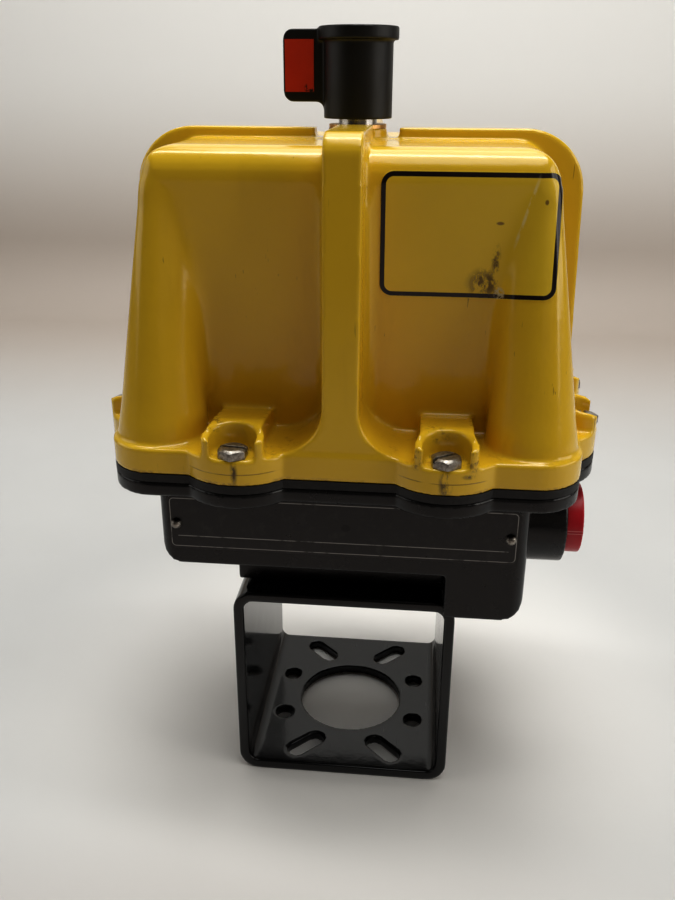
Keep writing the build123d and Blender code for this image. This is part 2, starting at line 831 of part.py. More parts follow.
def conduit_plug(y):
    """Plastic plug with a flange against the boss and a hollow shank in its hole."""
    flange_end = conduit_boss_end + plug_flange_thickness
    plug = conduit_axis(y, conduit_boss_end, flange_end, plug_flange_radius)
    plug += conduit_axis(
        y, conduit_boss_end - plug_shank_length, conduit_boss_end, conduit_hole_radius - loose_gap
    )
    plug -= conduit_axis(y, flange_end - plug_recess_depth, flange_end + 1, plug_recess_radius)
    return plug


def lower_shaft_bush():
    """Flanged bush in the base's pad."""
    inside = journal_radius + running_gap
    body = ring(lower_bush_radius, inside, base_bottom, floor)
    return body + ring(bush_flange_radius, inside, floor, bush_flange_top)


def upper_shaft_bush():
    """Flanged bush in the cover's boss."""
    inside = override_radius + running_gap
    flange_top = boss_top + upper_bush_flange_thickness
    body = ring(upper_bush_radius, inside, boss_bottom + seal_thickness, boss_top)
    return body + ring(upper_bush_flange_radius, inside, boss_top, flange_top)


def upper_shaft_seal():
    """Seal ring below the upper bush."""
    return ring(seal_radius, override_radius + loose_gap, boss_bottom, boss_bottom + seal_thickness)


def output_shaft():
    """Stepped shaft from the drive end to the cams, with a socket for the override shaft."""
    drive_end = base_bottom - drive_length
    body = flat_rod(drive_radius, drive_flats, drive_end, base_bottom)
    body += rod(journal_radius, base_bottom, bush_flange_top + 1)
    body += rod(shoulder_radius, bush_flange_top + running_gap, gear_bottom)
    body += rod(gear_seat_radius, gear_bottom, gear_top)
    body += rod(shaft_radius, gear_top, cam_bottom)
    body += rod(cam_seat_radius, cam_bottom, shaft_top)
    body -= rod(override_radius + running_gap, socket_bottom, shaft_top + 1)
    half = override_pin_radius + loose_gap
    slot_bottom = override_pin_z - half
    body -= block(-drive_radius * 2, drive_radius * 2, -half, half, slot_bottom, shaft_top + 1)
    return body


def override_shaft():
    """Upper shaft that slides in the output shaft's socket and carries the cap."""
    body = rod(override_radius, socket_bottom + loose_gap, cap_bottom + cap_height / 2)
    body += flat_rod(override_radius, override_flats, cap_bottom + cap_height / 2, override_top)
    return body - cross_hole(override_pin_radius + seat_gap)


def cross_hole(radius):
    """A cylinder along X through the override shaft."""
    return Pos(0, 0, override_pin_z) * Rot(0, 90, 0) * Cylinder(radius, 3 * override_radius)


def override_pin():
    """Cross pin that turns the output shaft when the override shaft is turned."""
    return Pos(0, 0, override_pin_z) * Rot(0, 90, 0) * Cylinder(override_pin_radius, 2 * override_pin_half)


def indicator_cap():
    """Cap with a lip round its top and a flat flag to the left."""
    body = rod(cap_radius, cap_bottom, cap_top)
    body += rod(cap_lip_radius, cap_top - cap_lip_height, cap_top)
    middle = (cap_bottom + flag_bottom + cap_bottom + flag_top) / 2
    flag = RectangleRounded(flag_reach * 2, flag_top - flag_bottom, flag_corner)
    flag = Pos(0, 0, middle) * extrude(Plane.XZ * flag, flag_thickness / 2, both=True)
    flag &= block(-flag_reach, 0, -flag_thickness, flag_thickness, cap_bottom, cap_top)
    body += flag
    return body - rod(override_radius + running_gap, cap_bottom - 1, override_top)


def flag_marker():
    """Coloured marker on the flag's front face."""
    face = -flag_thickness / 2
    return block(
        -marker_left, -marker_right, face - marker_thickness, face,
        cap_bottom + marker_bottom, cap_bottom + marker_top,
    )


def cluster_phases():
    """Phases of the output gear, pinion, wheel and motor pinion, all in mesh at rest."""
    to_cluster = math.degrees(math.atan2(cluster_y, cluster_x))
    to_motor = math.degrees(math.atan2(-cluster_y, motor_x - cluster_x))
    output = 0.0
    pinion = meshed_phase(to_cluster, output_teeth, output, pinion_teeth)
    wheel = 0.0
    motor = meshed_phase(to_motor, wheel_teeth, wheel, motor_teeth)
    return output, pinion, wheel, motor


def output_gear():
    """Large gear on the output shaft's shoulder."""
    body = gear(output_teeth, output_module, cluster_phases()[0], gear_bottom, gear_top)
    for index in range(4):
        angle = math.radians(45 + 90 * index)
        distance = (gear_seat_radius + output_pitch_radius) / 2
        body -= rod(7, gear_bottom - 1, gear_top + 1, distance * math.cos(angle), distance * math.sin(angle))
    return body - rod(gear_seat_radius + seat_gap, gear_bottom - 1, gear_top + 1)


def gear_retaining_ring():
    """Ring that keeps the output gear on its seat."""
    return ring(gear_seat_radius + 4, shaft_radius + seat_gap, gear_top, gear_top + 1.2)


def cluster_gear():
    """Pinion and wheel in one piece, turning on the cluster pin."""
    phases = cluster_phases()
    pinion_bottom = gear_bottom - pinion_face_extra
    body = gear(pinion_teeth, output_module, phases[1], pinion_bottom, wheel_bottom, cluster_x, cluster_y)
    body += gear(wheel_teeth, wheel_module, phases[2], wheel_bottom, wheel_top, cluster_x, cluster_y)
    bore_radius = cluster_pin_radius + running_gap
    return body - rod(bore_radius, pinion_bottom - 1, wheel_top + 1, cluster_x, cluster_y)


def cluster_washer():
    """Washer that carries the cluster gear off the base's floor."""
    top = gear_bottom - pinion_face_extra - running_gap
    return ring(cluster_washer_radius, cluster_pin_radius + seat_gap, floor, top, cluster_x, cluster_y)


def cluster_pin():
    """Fixed pin from the base's floor to the gear plate."""
    return rod(cluster_pin_radius, floor - 3, gear_plate_top, cluster_x, cluster_y)


def gear_plate():
    """Plate over the gears, which carries the motor and the electrical parts."""
    body = rounded_slab(
        2 * (inner_x - plate_clearance), 2 * (inner_y - plate_clearance), base_corner,
        gear_plate_bottom, gear_plate_top,
    )
    low, high = gear_plate_bottom - 1, gear_plate_top + 1
    body -= rod(shaft_radius + 3, low, high)
    body -= rod(cluster_pin_radius + seat_gap, low, high, cluster_x, cluster_y)
    body -= rod(motor_shaft_radius + 2, low, high, motor_x)
    for x, y in post_places:
        body -= rod(post_screw_radius + screw_gap, low, high, x, y)
    for x, y in motor_screw_places() + clamp_screw_places() + switch_screw_places():
        body -= rod(motor_screw_radius + screw_gap, low, high, x, y)
    return body


def gear_plate_posts():
    """Four tubular posts under the gear plate."""
    return [
        ring(post_radius, post_screw_radius + screw_gap, floor, gear_plate_bottom, x, y)
        for x, y in post_places
    ]


def gear_plate_screws():
    """Four long screws through the posts into the base's floor."""
    reach = gear_plate_top - floor + post_screw_reach
    return [
        round_screw(x, y, gear_plate_top, post_radius, 3.0, post_screw_radius, reach)
        for x, y in post_places
    ]


def motor_screw_places():
    """Places of the motor's flange screws."""
    angles = [math.radians(45 + 90 * index) for index in range(4)]
    return [
        (motor_x + motor_screw_circle * math.cos(angle), motor_screw_circle * math.sin(angle))
        for angle in angles
    ]


def motor_housing():
    """Motor can with its mounting flange, open at the top for the end bell."""
    flange_top = motor_bottom + motor_flange_thickness
    body = rod(motor_flange_radius, motor_bottom, flange_top, motor_x)
    body += rod(motor_radius, flange_top, motor_top, motor_x)
    body -= rod(motor_radius - motor_wall, flange_top, motor_top + 1, motor_x)
    body -= rod(motor_shaft_radius + running_gap, motor_bottom - 1, motor_top, motor_x)
    for x, y in motor_screw_places():
        body -= rod(motor_screw_radius + screw_gap, motor_bottom - 1, flange_top + 1, x, y)
    return body


def motor_end_bell():
    """Lid of the motor can, with the upper bearing bore."""
    body = rod(motor_radius, motor_top, bell_top, motor_x)
    return body - rod(motor_shaft_radius + running_gap, motor_top - 1, bell_top + 1, motor_x)


def motor_shaft():
    """Shaft from the pinion to the brake, with the rotor's collar."""
    bottom = wheel_bottom - 1
    top = bell_top + brake_height / 2 + brake_disc_thickness
    body = rod(motor_shaft_radius, bottom, top, motor_x)
    collar = rotor_bottom()
    return body + rod(motor_shaft_radius + 2, collar - 2, collar, motor_x)


def rotor_bottom():
    """Level of the rotor's lower face."""
    return motor_bottom + motor_flange_thickness + 10


def motor_rotor():
    """Rotor core on the motor shaft's collar."""
    top = motor_top - 10
    return ring(rotor_radius, motor_shaft_radius + seat_gap, rotor_bottom(), top, motor_x)


def motor_pinion():
    """Small gear at the motor shaft's lower end."""
    bottom = wheel_bottom - 1
    body = gear(
        motor_teeth, wheel_module, cluster_phases()[3], bottom, bottom + motor_pinion_thickness, motor_x
    )
    body -= rod(motor_shaft_radius + seat_gap, bottom, bottom + motor_pinion_thickness + 1, motor_x)
    return body


def motor_screws():
    """Four screws through the motor's flange."""
    seat = motor_bottom + motor_flange_thickness
    reach = motor_flange_thickness + gear_plate_thickness - 0.5
    return [
        round_screw(x, y, seat, motor_screw_radius + 0.6, small_head_height, motor_screw_radius, reach)
        for x, y in motor_screw_places()
    ]


def brake_housing():
    """Cup over the brake disc, standing on the end bell."""
    body = rod(brake_radius, bell_top, brake_top, motor_x)
    return body - rod(brake_radius - brake_wall, bell_top - 1, brake_top - brake_wall, motor_x)


def brake_disc():
    """Brake disc on the motor shaft."""
    bottom = bell_top + brake_height / 2
    top = bottom + brake_disc_thickness
    body = rod(brake_disc_radius, bottom, top + 1, motor_x)
    return body - rod(motor_shaft_radius + seat_gap, bottom - 1, top, motor_x)


def run_capacitor():
    """Round capacitor with two terminals."""
    top = gear_plate_top + capacitor_height
    body = rod(capacitor_radius, gear_plate_top, top, -capacitor_x)
    for y in (-6, 6):
        body += block(-capacitor_x - 0.5, -capacitor_x + 0.5, y - 3, y + 3, top - 1, top + 8)
    return body


def clamp_screw_places():
    """Places of the capacitor clamp's screws."""
    return [(-capacitor_x, -clamp_screw_y), (-capacitor_x, clamp_screw_y)]


def capacitor_clamp():
    """Ring round the capacitor's foot, with a tab at each side."""
    inside = capacitor_radius + loose_gap
    outside = inside + clamp_wall
    tab = small_head_radius + 2
    body = rod(outside, gear_plate_top, gear_plate_top + clamp_height, -capacitor_x)
    body += block(
        -capacitor_x - tab, -capacitor_x + tab, -clamp_screw_y - tab, clamp_screw_y + tab,
        gear_plate_top, gear_plate_top + clamp_foot,
    )
    body -= rod(inside, gear_plate_top - 1, gear_plate_top + clamp_height + 1, -capacitor_x)
    for x, y in clamp_screw_places():
        hole_radius = small_screw_radius + screw_gap
        body -= rod(hole_radius, gear_plate_top - 1, gear_plate_top + clamp_foot + 1, x, y)
    return body


def small_screws(places, seat, reach):
    """Small round-headed screws on a common seat."""
    return [
        round_screw(x, y, seat, small_head_radius, small_head_height, small_screw_radius, reach)
        for x, y in places
    ]


def lever_tip_x():
    """How far from the axis a lever's bump stands, clear of the cam's lobe."""
    return lobe_radius + loose_gap


def cam(bottom, phase):
    """Disc with one lobe, whose middle is at the angle phase, in degrees."""
    top = bottom + cam_thickness
    lobe = rod(lobe_radius, bottom, top)
    reach = 2 * lobe_radius
    half = math.radians(lobe_angle / 2)
    wedge = make_face(
        Polyline(
            (0, 0), (reach * math.cos(half), -reach * math.sin(half)),
            (reach * math.cos(half), reach * math.sin(half)), close=True,
        )
    )
    lobe &= Pos(0, 0, bottom) * Rot(0, 0, phase) * extrude(wedge, cam_thickness)
    body = rod(cam_radius, bottom, top) + lobe
    return body - rod(cam_seat_radius + seat_gap, bottom - 1, top + 1)


def cam_spacer():
    """Spacer between the two cams."""
    bottom = cam_bottom + cam_thickness
    return ring(cam_seat_radius + 2, cam_seat_radius + seat_gap, bottom, second_cam_bottom)


def cam_retaining_ring():
    """Ring above the upper cam."""
    return ring(
        cam_seat_radius + 2, cam_seat_radius + seat_gap,
        cam_ring_bottom, cam_ring_bottom + cam_ring_thickness,
    )


def switch_middle(bottom):
    """Level of the middle of the switch that works with a cam."""
    return bottom + cam_thickness / 2


def limit_switch(bottom):
    """Small switch with a plunger and two ears that carry its lever."""
    z = switch_middle(bottom)
    half = switch_height / 2
    back = -switch_face_x - switch_depth
    body = block(back, -switch_face_x, -switch_width / 2, switch_width / 2, z - half, z + half)
    for side in (-1, 1):
        low = z + side * (half - ear_thickness / 2) - ear_thickness / 2
        body += block(
            -switch_face_x - 1, -lever_pivot_x + 1.4, lever_pivot_y - 1.8, switch_width / 2,
            low, low + ear_thickness,
        )
    plunger = Pos(-switch_face_x + 0.25, -3, z) * Rot(0, 90, 0) * Cylinder(1.2, 1.0)
    body += plunger
    bore_radius = lever_pin_radius + running_gap
    return body - rod(bore_radius, z - half - 1, z + half + 1, -lever_pivot_x, lever_pivot_y)


def switch_lever(bottom):
    """Lever with a bump towards the cam and a pivot pin."""
    z = switch_middle(bottom)
    half = lever_height / 2
    x = -lever_pivot_x
    body = block(
        x - lever_thickness / 2, x + lever_thickness / 2, -switch_width / 2, lever_pivot_y,
        z - half, z + half,
    )
    bump_x = -lever_tip_x() - lever_bump_radius
    body += rod(lever_bump_radius, z - half, z + half, bump_x, 0)
    body += rod(lever_barrel_radius, z - half, z + half, x, lever_pivot_y)
    pin_half = switch_height / 2
    return body + rod(lever_pin_radius, z - pin_half, z + pin_half, x, lever_pivot_y)


def switch_bracket():
    """Angle bracket that stands on the gear plate and carries both switches."""
    back = -switch_bracket_x
    face = back + switch_bracket_thickness
    top = switch_middle(second_cam_bottom) + switch_height / 2 + 2
    half = switch_width / 2 + 2
    body = block(back, face, -half, half, gear_plate_top, top)
    body += block(
        back, back + bracket_foot_length, -half, half,
        gear_plate_top, gear_plate_top + switch_bracket_thickness,
    )
    for x, y in switch_screw_places():
        body -= rod(
            small_screw_radius + screw_gap,
            gear_plate_top - 1, gear_plate_top + switch_bracket_thickness + 1, x, y,
        )
    return body


def switch_screw_places():
    """Places of the switch bracket's foot screws."""
    return [(-bracket_foot_screw_x, -bracket_foot_screw_y), (-bracket_foot_screw_x, bracket_foot_screw_y)]


def terminal_places():
    """Places of the terminal screws along the strip."""
    pitch = strip_length / terminal_count
    return [(-strip_length / 2 + pitch * (index + 0.5), -strip_y) for index in range(terminal_count)]


def terminal_strip():
    """Terminal strip at the front of the gear plate."""
    half = strip_length / 2
    top = gear_plate_top + strip_height
    body = block(-half, half, -strip_y - strip_width / 2, -strip_y + strip_width / 2, gear_plate_top, top)
    for x, y in terminal_places():
        body -= rod(terminal_screw_radius + loose_gap, top - 5, top + 1, x, y)
    return body


def terminal_screws():
    """One screw for each terminal."""
    seat = gear_plate_top + strip_height
    return [
        round_screw(x, y, seat, small_head_radius, 1.2, terminal_screw_radius, 4)
        for x, y in terminal_places()
    ]


def write(name, shape):
    """Write one sub-part, a single piece or a list of separate pieces."""
    pieces = shape if isinstance(shape, list) else [shape]
    solids = [solid for piece in pieces for solid in piece.solids()]
    export_step(solids[0] if len(solids) == 1 else Compound(children=solids), f"parts/{name}.step")


def main():
    """Build every sub-part."""
    os.makedirs("parts", exist_ok=True)
    foot_seat = gear_plate_top + switch_bracket_thickness
    clamp_seat = gear_plate_top + clamp_foot
    write("mounting_bracket", mounting_bracket())
    write("bracket_screws", bracket_screws())
    write("bracket_washers", bracket_washers())
    write("base_housing", base_housing())
    write("flange_gasket", flange_gasket())
    write("cover_housing", cover_housing())
    write("cover_screws", cover_screws())
    write("cover_label", cover_label())
    write("nameplate", nameplate())
    write("nameplate_pins", nameplate_pins())
    write("ground_screw", ground_screw())
    write("front_conduit_plug", conduit_plug(-conduit_y))
    write("rear_conduit_plug", conduit_plug(conduit_y))
    write("lower_shaft_bush", lower_shaft_bush())
    write("upper_shaft_bush", upper_shaft_bush())
    write("upper_shaft_seal", upper_shaft_seal())
    write("output_shaft", output_shaft())
    write("override_shaft", override_shaft())
    write("override_pin", override_pin())
    write("indicator_cap", indicator_cap())
    write("flag_marker", flag_marker())
    write("output_gear", output_gear())
    write("gear_retaining_ring", gear_retaining_ring())
    write("cluster_gear", cluster_gear())
    write("cluster_washer", cluster_washer())
    write("cluster_pin", cluster_pin())
    write("gear_plate", gear_plate())
    write("gear_plate_posts", gear_plate_posts())
    write("gear_plate_screws", gear_plate_screws())
    write("motor_housing", motor_housing())
    write("motor_end_bell", motor_end_bell())
    write("motor_shaft", motor_shaft())
    write("motor_rotor", motor_rotor())
    write("motor_pinion", motor_pinion())
    write("motor_screws", motor_screws())
    write("brake_housing", brake_housing())
    write("brake_disc", brake_disc())
    write("run_capacitor", run_capacitor())
    write("capacitor_clamp", capacitor_clamp())
    write("capacitor_clamp_screws", small_screws(clamp_screw_places(), clamp_seat, 5))
    write("closing_cam", cam(cam_bottom, 180))
    write("opening_cam", cam(second_cam_bottom, 90))
    write("cam_spacer", cam_spacer())
    write("cam_retaining_ring", cam_retaining_ring())
    write("closing_switch", limit_switch(cam_bottom))
    write("opening_switch", limit_switch(second_cam_bottom))
    write("closing_lever", switch_lever(cam_bottom))
    write("opening_lever", switch_lever(second_cam_bottom))
    write("switch_bracket", switch_bracket())
    write("switch_bracket_screws", small_screws(switch_screw_places(), foot_seat, 5))
    write("terminal_strip", terminal_strip())
    write("terminal_screws", terminal_screws())


main()
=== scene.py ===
import json
import math

import bmesh
import bpy
import numpy as np
from mathutils import Matrix, Vector
from mathutils.bvhtree import BVHTree


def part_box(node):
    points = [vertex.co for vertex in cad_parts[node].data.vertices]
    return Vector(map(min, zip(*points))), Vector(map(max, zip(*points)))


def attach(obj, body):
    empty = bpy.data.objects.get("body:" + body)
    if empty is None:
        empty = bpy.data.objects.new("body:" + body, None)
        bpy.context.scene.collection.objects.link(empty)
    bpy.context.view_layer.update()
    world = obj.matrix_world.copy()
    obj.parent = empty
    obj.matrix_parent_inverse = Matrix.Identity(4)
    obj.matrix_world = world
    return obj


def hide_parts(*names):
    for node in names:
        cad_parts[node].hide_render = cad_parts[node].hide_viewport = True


# Looks of a quarter-turn electric valve actuator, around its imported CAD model. Metres.

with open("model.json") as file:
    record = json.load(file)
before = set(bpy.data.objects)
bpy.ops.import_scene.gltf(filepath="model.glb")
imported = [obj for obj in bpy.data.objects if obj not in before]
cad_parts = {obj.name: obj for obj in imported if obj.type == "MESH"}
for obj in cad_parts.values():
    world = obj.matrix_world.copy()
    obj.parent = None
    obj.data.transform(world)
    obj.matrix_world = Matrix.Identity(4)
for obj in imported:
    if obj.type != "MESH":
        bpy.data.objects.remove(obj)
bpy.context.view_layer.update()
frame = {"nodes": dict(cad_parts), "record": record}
nodes = frame["nodes"]
scene = bpy.context.scene
MM = 0.001

# Places taken from the frame
cover_low, cover_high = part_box("cover_housing")
bracket_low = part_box("mounting_bracket")[0]
plate_low, plate_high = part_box("nameplate")
label_low, label_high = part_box("cover_label")
screws_low, screws_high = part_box("cover_screws")
cap_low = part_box("indicator_cap")[0]
marker_low, marker_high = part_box("flag_marker")
plug_low, plug_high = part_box("front_conduit_plug")

# The cover's flange, and the eight screws on it
FLANGE_THICKNESS = 11 * MM
LEDGE = cover_low.z + FLANGE_THICKNESS      # the level that the screws' heads stand on
SCREW_INSET = 5.5 * MM                      # from the cover's edge in to the screws
FRONT_SCREW_X = 42 * MM
FRONT_SCREW_Y = cover_high.y - SCREW_INSET
SIDE_SCREW_X = cover_high.x - SCREW_INSET
SIDE_SCREW_Y = 25 * MM
HEAD_HEIGHT = screws_high.z - LEDGE
HEAD_ACROSS_FLATS = 11.1 * MM
SLOT_FLOOR = 2.2 * MM                       # above the ledge

# The indicator cap's barrel and flag
CAP_RADIUS = 14.2 * MM
FLAG_UNDERSIDE = cap_low.z + 6.3 * MM
FLAG_HALF = 1.6 * MM

# The label's film rides up by a share of how far the wall under it comes forward of the back wall
# of the cover's pocket. That wall is a plane that leans forward as it rises.
LABEL_CORNER = 5 * MM
LABEL_Y = -57 * MM                          # about the middle of the film's depth
LABEL_REACH = 30 * MM                       # past the film's front and back
FILM_RISE = 0.2
RISE_START = 0.4 * MM                       # how far forward the wall comes before the film rises
POCKET_LEAN = -0.1375                       # the plane's Y for each Z
POCKET_BACK = -52.2 * MM - POCKET_LEAN * 0.240      # the plane's Y at Z = 0, from its Y at Z = 240 mm

SOFT_STEPS = 200                            # smoothing passes where a cast is at its softest


# Shader nodes

class Paint:
    """One material's nodes. Textures are laid out in the object's own coordinates, in metres."""

    def __init__(self, name):
        self.material = bpy.data.materials.new(name)
        self.material.use_nodes = True
        self.tree = self.material.node_tree
        self.shader = self.tree.nodes["Principled BSDF"]
        self.place = self.add("ShaderNodeTexCoord").outputs["Object"]
        self.normal = None

    def add(self, kind, **settings):
        """A new node of a kind, with its settings."""
        node = self.tree.nodes.new(kind)
        for name, value in settings.items():
            setattr(node, name, value)
        return node

    def set(self, socket, value):
        """Links a socket to an output, or gives it a constant."""
        if isinstance(value, bpy.types.NodeSocket):
            self.tree.links.new(value, socket)
        else:
            socket.default_value = value

    def noise(self, size, detail=3.0, roughness=0.5, stretch=(1, 1, 1)):
        """Noise from 0 to 1 whose features are about `size` metres across, longer along a stretched axis."""
        mapping = self.add("ShaderNodeMapping")
        mapping.inputs["Scale"].default_value = [1 / s for s in stretch]
        self.set(mapping.inputs["Vector"], self.place)
        noise = self.add("ShaderNodeTexNoise")
        noise.inputs["Scale"].default_value = 1 / size
        noise.inputs["Detail"].default_value = detail
        noise.inputs["Roughness"].default_value = roughness
        self.set(noise.inputs["Vector"], mapping.outputs[0])
        return noise.outputs["Fac"]

    def ramp(self, value, low, high):
        """0 below low, 1 above high, smooth between; low above high turns it round."""
        node = self.add("ShaderNodeMapRange", interpolation_type="SMOOTHSTEP")
        self.set(node.inputs["Value"], value)
        if low <= high:
            ends = (low, high, 0.0, 1.0)
        else:
            ends = (high, low, 1.0, 0.0)
        for name, end in zip(("From Min", "From Max", "To Min", "To Max"), ends):
            node.inputs[name].default_value = end
        return node.outputs[0]

    def spread(self, value, low, high):
        """Maps 0..1 to low..high."""
        node = self.add("ShaderNodeMapRange")
        self.set(node.inputs["Value"], value)
        node.inputs["To Min"].default_value = low
        node.inputs["To Max"].default_value = high
        return node.outputs[0]

    def math(self, operation, first, second=0.0):
        """One step of arithmetic on outputs or constants."""
        node = self.add("ShaderNodeMath", operation=operation)
        self.set(node.inputs[0], first)
        self.set(node.inputs[1], second)
        return node.outputs[0]

    def both(self, *values):
        """Product of masks."""
        result = values[0]
        for value in values[1:]:
            result = self.math("MULTIPLY", result, value)
        return result

    def either(self, *values):
        """The largest of masks."""
        result = values[0]
        for value in values[1:]:
            result = self.math("MAXIMUM", result, value)
        return result

    def mix(self, share, first, second):
        """Blends two colours."""
        node = self.add("ShaderNodeMix", data_type="RGBA")
        self.set(node.inputs[0], share)
        for socket, value in ((node.inputs[6], first), (node.inputs[7], second)):
            self.set(socket, value if isinstance(value, bpy.types.NodeSocket) else (*value, 1.0))
        return node.outputs[2]

    def tint(self, colour, mask, share, tone):
        """Lays a tone over a colour where a mask is 1, up to a share of it."""
        return self.mix(self.both(mask, share), colour, tone)

    def axis(self, name):
        """One coordinate of the place, in metres."""
        node = self.add("ShaderNodeSeparateXYZ")
        self.set(node.inputs[0], self.place)
        return node.outputs[name]

    def near(self, centre, size, soft=0.5):
        """1 inside an ellipsoid about a point and 0 outside it."""
        mapping = self.add("ShaderNodeMapping")
        mapping.inputs["Location"].default_value = [-c / s for c, s in zip(centre, size)]
        mapping.inputs["Scale"].default_value = [1 / s for s in size]
        self.set(mapping.inputs["Vector"], self.place)
        length = self.add("ShaderNodeVectorMath", operation="LENGTH")
        self.set(length.inputs[0], mapping.outputs[0])
        return self.ramp(length.outputs["Value"], 1.0, 1.0 - soft)

    def pointiness(self):
        """Above 0.5 on edges and below it in corners."""
        return self.add("ShaderNodeNewGeometry").outputs["Pointiness"]

    def facing_up(self):
        """The surface normal's Z."""
        node = self.add("ShaderNodeSeparateXYZ")
        self.set(node.inputs[0], self.add("ShaderNodeNewGeometry").outputs["Normal"])
        return node.outputs["Z"]

    def colour(self, value):
        socket = self.shader.inputs["Base Color"]
        self.set(socket, value if isinstance(value, bpy.types.NodeSocket) else (*value, 1.0))

    def roughness(self, value):
        self.set(self.shader.inputs["Roughness"], value)

    def metallic(self, value):
        self.set(self.shader.inputs["Metallic"], value)

    def bump(self, height, depth):
        """Adds bumps `depth` metres deep to those already there."""
        node = self.add("ShaderNodeBump")
        node.inputs["Distance"].default_value = depth
        node.inputs["Strength"].default_value = 1.0
        self.set(node.inputs["Height"], height)
        if self.normal is not None:
            self.set(node.inputs["Normal"], self.normal)
        self.normal = node.outputs[0]
        self.set(self.shader.inputs["Normal"], self.normal)


def yellow_enamel():
    """Gloss yellow enamel on a casting: dirt in hollows, chips on edges, oil runs under the screws."""
    p = Paint("yellow_enamel")
    point = p.pointiness()
    blotch = p.noise(45 * MM, 2)
    fine = p.noise(2.2 * MM, 4, 0.6)
    speck = p.noise(5 * MM, 5, 0.65)

    # Two close tones, and a thin haze that runs downwards
    colour = p.mix(blotch, (0.74, 0.485, 0.028), (0.80, 0.54, 0.036))
    flow = p.noise(14 * MM, 4, 0.6, stretch=(1, 1, 5))
    haze = p.both(p.ramp(flow, 0.55, 0.80), 0.25)
    colour = p.mix(haze, colour, (0.55, 0.33, 0.025))

    # Dirt in hollows, mostly round the front screws and beside the rib's top
    dirty_places = p.either(*[
        p.near(place, size, 0.6)
        for side in (-1, 1)
        for place, size in (
            ((side * FRONT_SCREW_X, -75 * MM, LEDGE + 4 * MM), (19 * MM, 14 * MM, 12 * MM)),
            ((side * 10 * MM, -60 * MM, cover_high.z - 15 * MM), (6 * MM, 12 * MM, 16 * MM)),
        )
    ])
    hollow = p.both(p.ramp(point, 0.492, 0.45), p.ramp(speck, 0.48, 0.62), p.either(dirty_places, 0.12))
    colour = p.tint(colour, hollow, 0.8, (0.16, 0.06, 0.015))

    # Rusty dirt along the flange's foot, and dust on its ledge
    level = p.axis("Z")
    foot = p.both(p.ramp(level, cover_low.z + 2.2 * MM, cover_low.z + 0.2 * MM), p.ramp(fine, 0.40, 0.58))
    foot = p.both(foot, p.ramp(p.noise(22 * MM, 2), 0.45, 0.62))
    colour = p.tint(colour, foot, 0.6, (0.16, 0.045, 0.018))
    ledge_dirt = p.both(
        p.near((0, 0, LEDGE + 1 * MM), (0.2, 0.2, 3.5 * MM)),
        p.ramp(p.facing_up(), 0.6, 0.95),
        p.ramp(speck, 0.53, 0.66),
    )
    colour = p.tint(colour, ledge_dirt, 0.3, (0.30, 0.14, 0.02))

    # Grease that has run down from the front screws
    stains = p.either(
        p.near((FRONT_SCREW_X, cover_low.y, LEDGE - 6 * MM), (3.4 * MM, 6 * MM, 8 * MM), 0.7),
        p.near((-FRONT_SCREW_X + 1 * MM, cover_low.y, LEDGE - 5 * MM), (2.0 * MM, 5 * MM, 7 * MM), 0.8),
        p.near((FRONT_SCREW_X + 10 * MM, cover_low.y, LEDGE - 3 * MM), (5 * MM, 5 * MM, 1.6 * MM), 0.8),
        p.near((-FRONT_SCREW_X + 15.5 * MM, -74 * MM, LEDGE + 1 * MM), (2 * MM, 4 * MM, 2 * MM), 0.8),
    )
    grease = p.both(stains, p.ramp(p.noise(3 * MM, 5, 0.7, stretch=(1, 1, 2.5)), 0.40, 0.58))
    colour = p.tint(colour, grease, 0.9, (0.035, 0.022, 0.012))

    # Dirt on the walls that guard the front screws
    ring_places = p.either(
        p.near((-FRONT_SCREW_X - 10 * MM, -70 * MM, LEDGE + 10 * MM), (6 * MM, 7 * MM, 4 * MM), 0.6),
        p.near((FRONT_SCREW_X - 5 * MM, -67 * MM, LEDGE + 8 * MM), (9 * MM, 5 * MM, 4.5 * MM), 0.6),
        p.near((FRONT_SCREW_X + 11 * MM, -82 * MM, LEDGE + 3 * MM), (3.5 * MM, 4 * MM, 6 * MM), 0.6),
        p.near((FRONT_SCREW_X - 12 * MM, -82 * MM, LEDGE + 3 * MM), (3 * MM, 4 * MM, 6 * MM), 0.6),
    )
    ring_dirt = p.both(ring_places, p.ramp(p.noise(2.6 * MM, 5, 0.7), 0.46, 0.62))
    colour = p.tint(colour, ring_dirt, 0.75, (0.12, 0.06, 0.02))

    # Chips on edges, more of them along the top and round the screws, and upright scratches
    top = p.ramp(level, cover_high.z - 9 * MM, cover_high.z - 4 * MM)
    chip_noise = p.noise(3.5 * MM, 5, 0.7)
    edge = p.ramp(point, 0.53, 0.58)
    worn_places = p.either(top, dirty_places)
    rare_chips = p.ramp(chip_noise, 0.66, 0.69)
    more_chips = p.both(worn_places, p.ramp(chip_noise, 0.57, 0.62))
    chips = p.both(edge, p.either(rare_chips, more_chips))
    colour = p.mix(chips, colour, (0.085, 0.045, 0.028))
    streaks = p.noise(1.1 * MM, 2, 0.4, stretch=(1, 1, 22))
    scratch = p.both(p.ramp(streaks, 0.72, 0.75), p.ramp(blotch, 0.5, 0.6))
    colour = p.tint(colour, scratch, 0.55, (0.12, 0.06, 0.02))

    # A mould seam across the front lugs
    seam_level = p.math("ABSOLUTE", p.math("SUBTRACT", level, cover_low.z + 5 * MM))
    lugs = p.either(*[
        p.near((side * FRONT_SCREW_X, cover_low.y + 4 * MM, LEDGE), (24 * MM, 14 * MM, 14 * MM), 0.3)
        for side in (-1, 1)
    ])
    seam = p.both(p.ramp(seam_level, 0.35 * MM, 0.12 * MM), lugs, p.ramp(p.noise(16 * MM, 2), 0.36, 0.5))
    colour = p.tint(colour, seam, 0.55, (0.16, 0.08, 0.02))
    p.colour(colour)

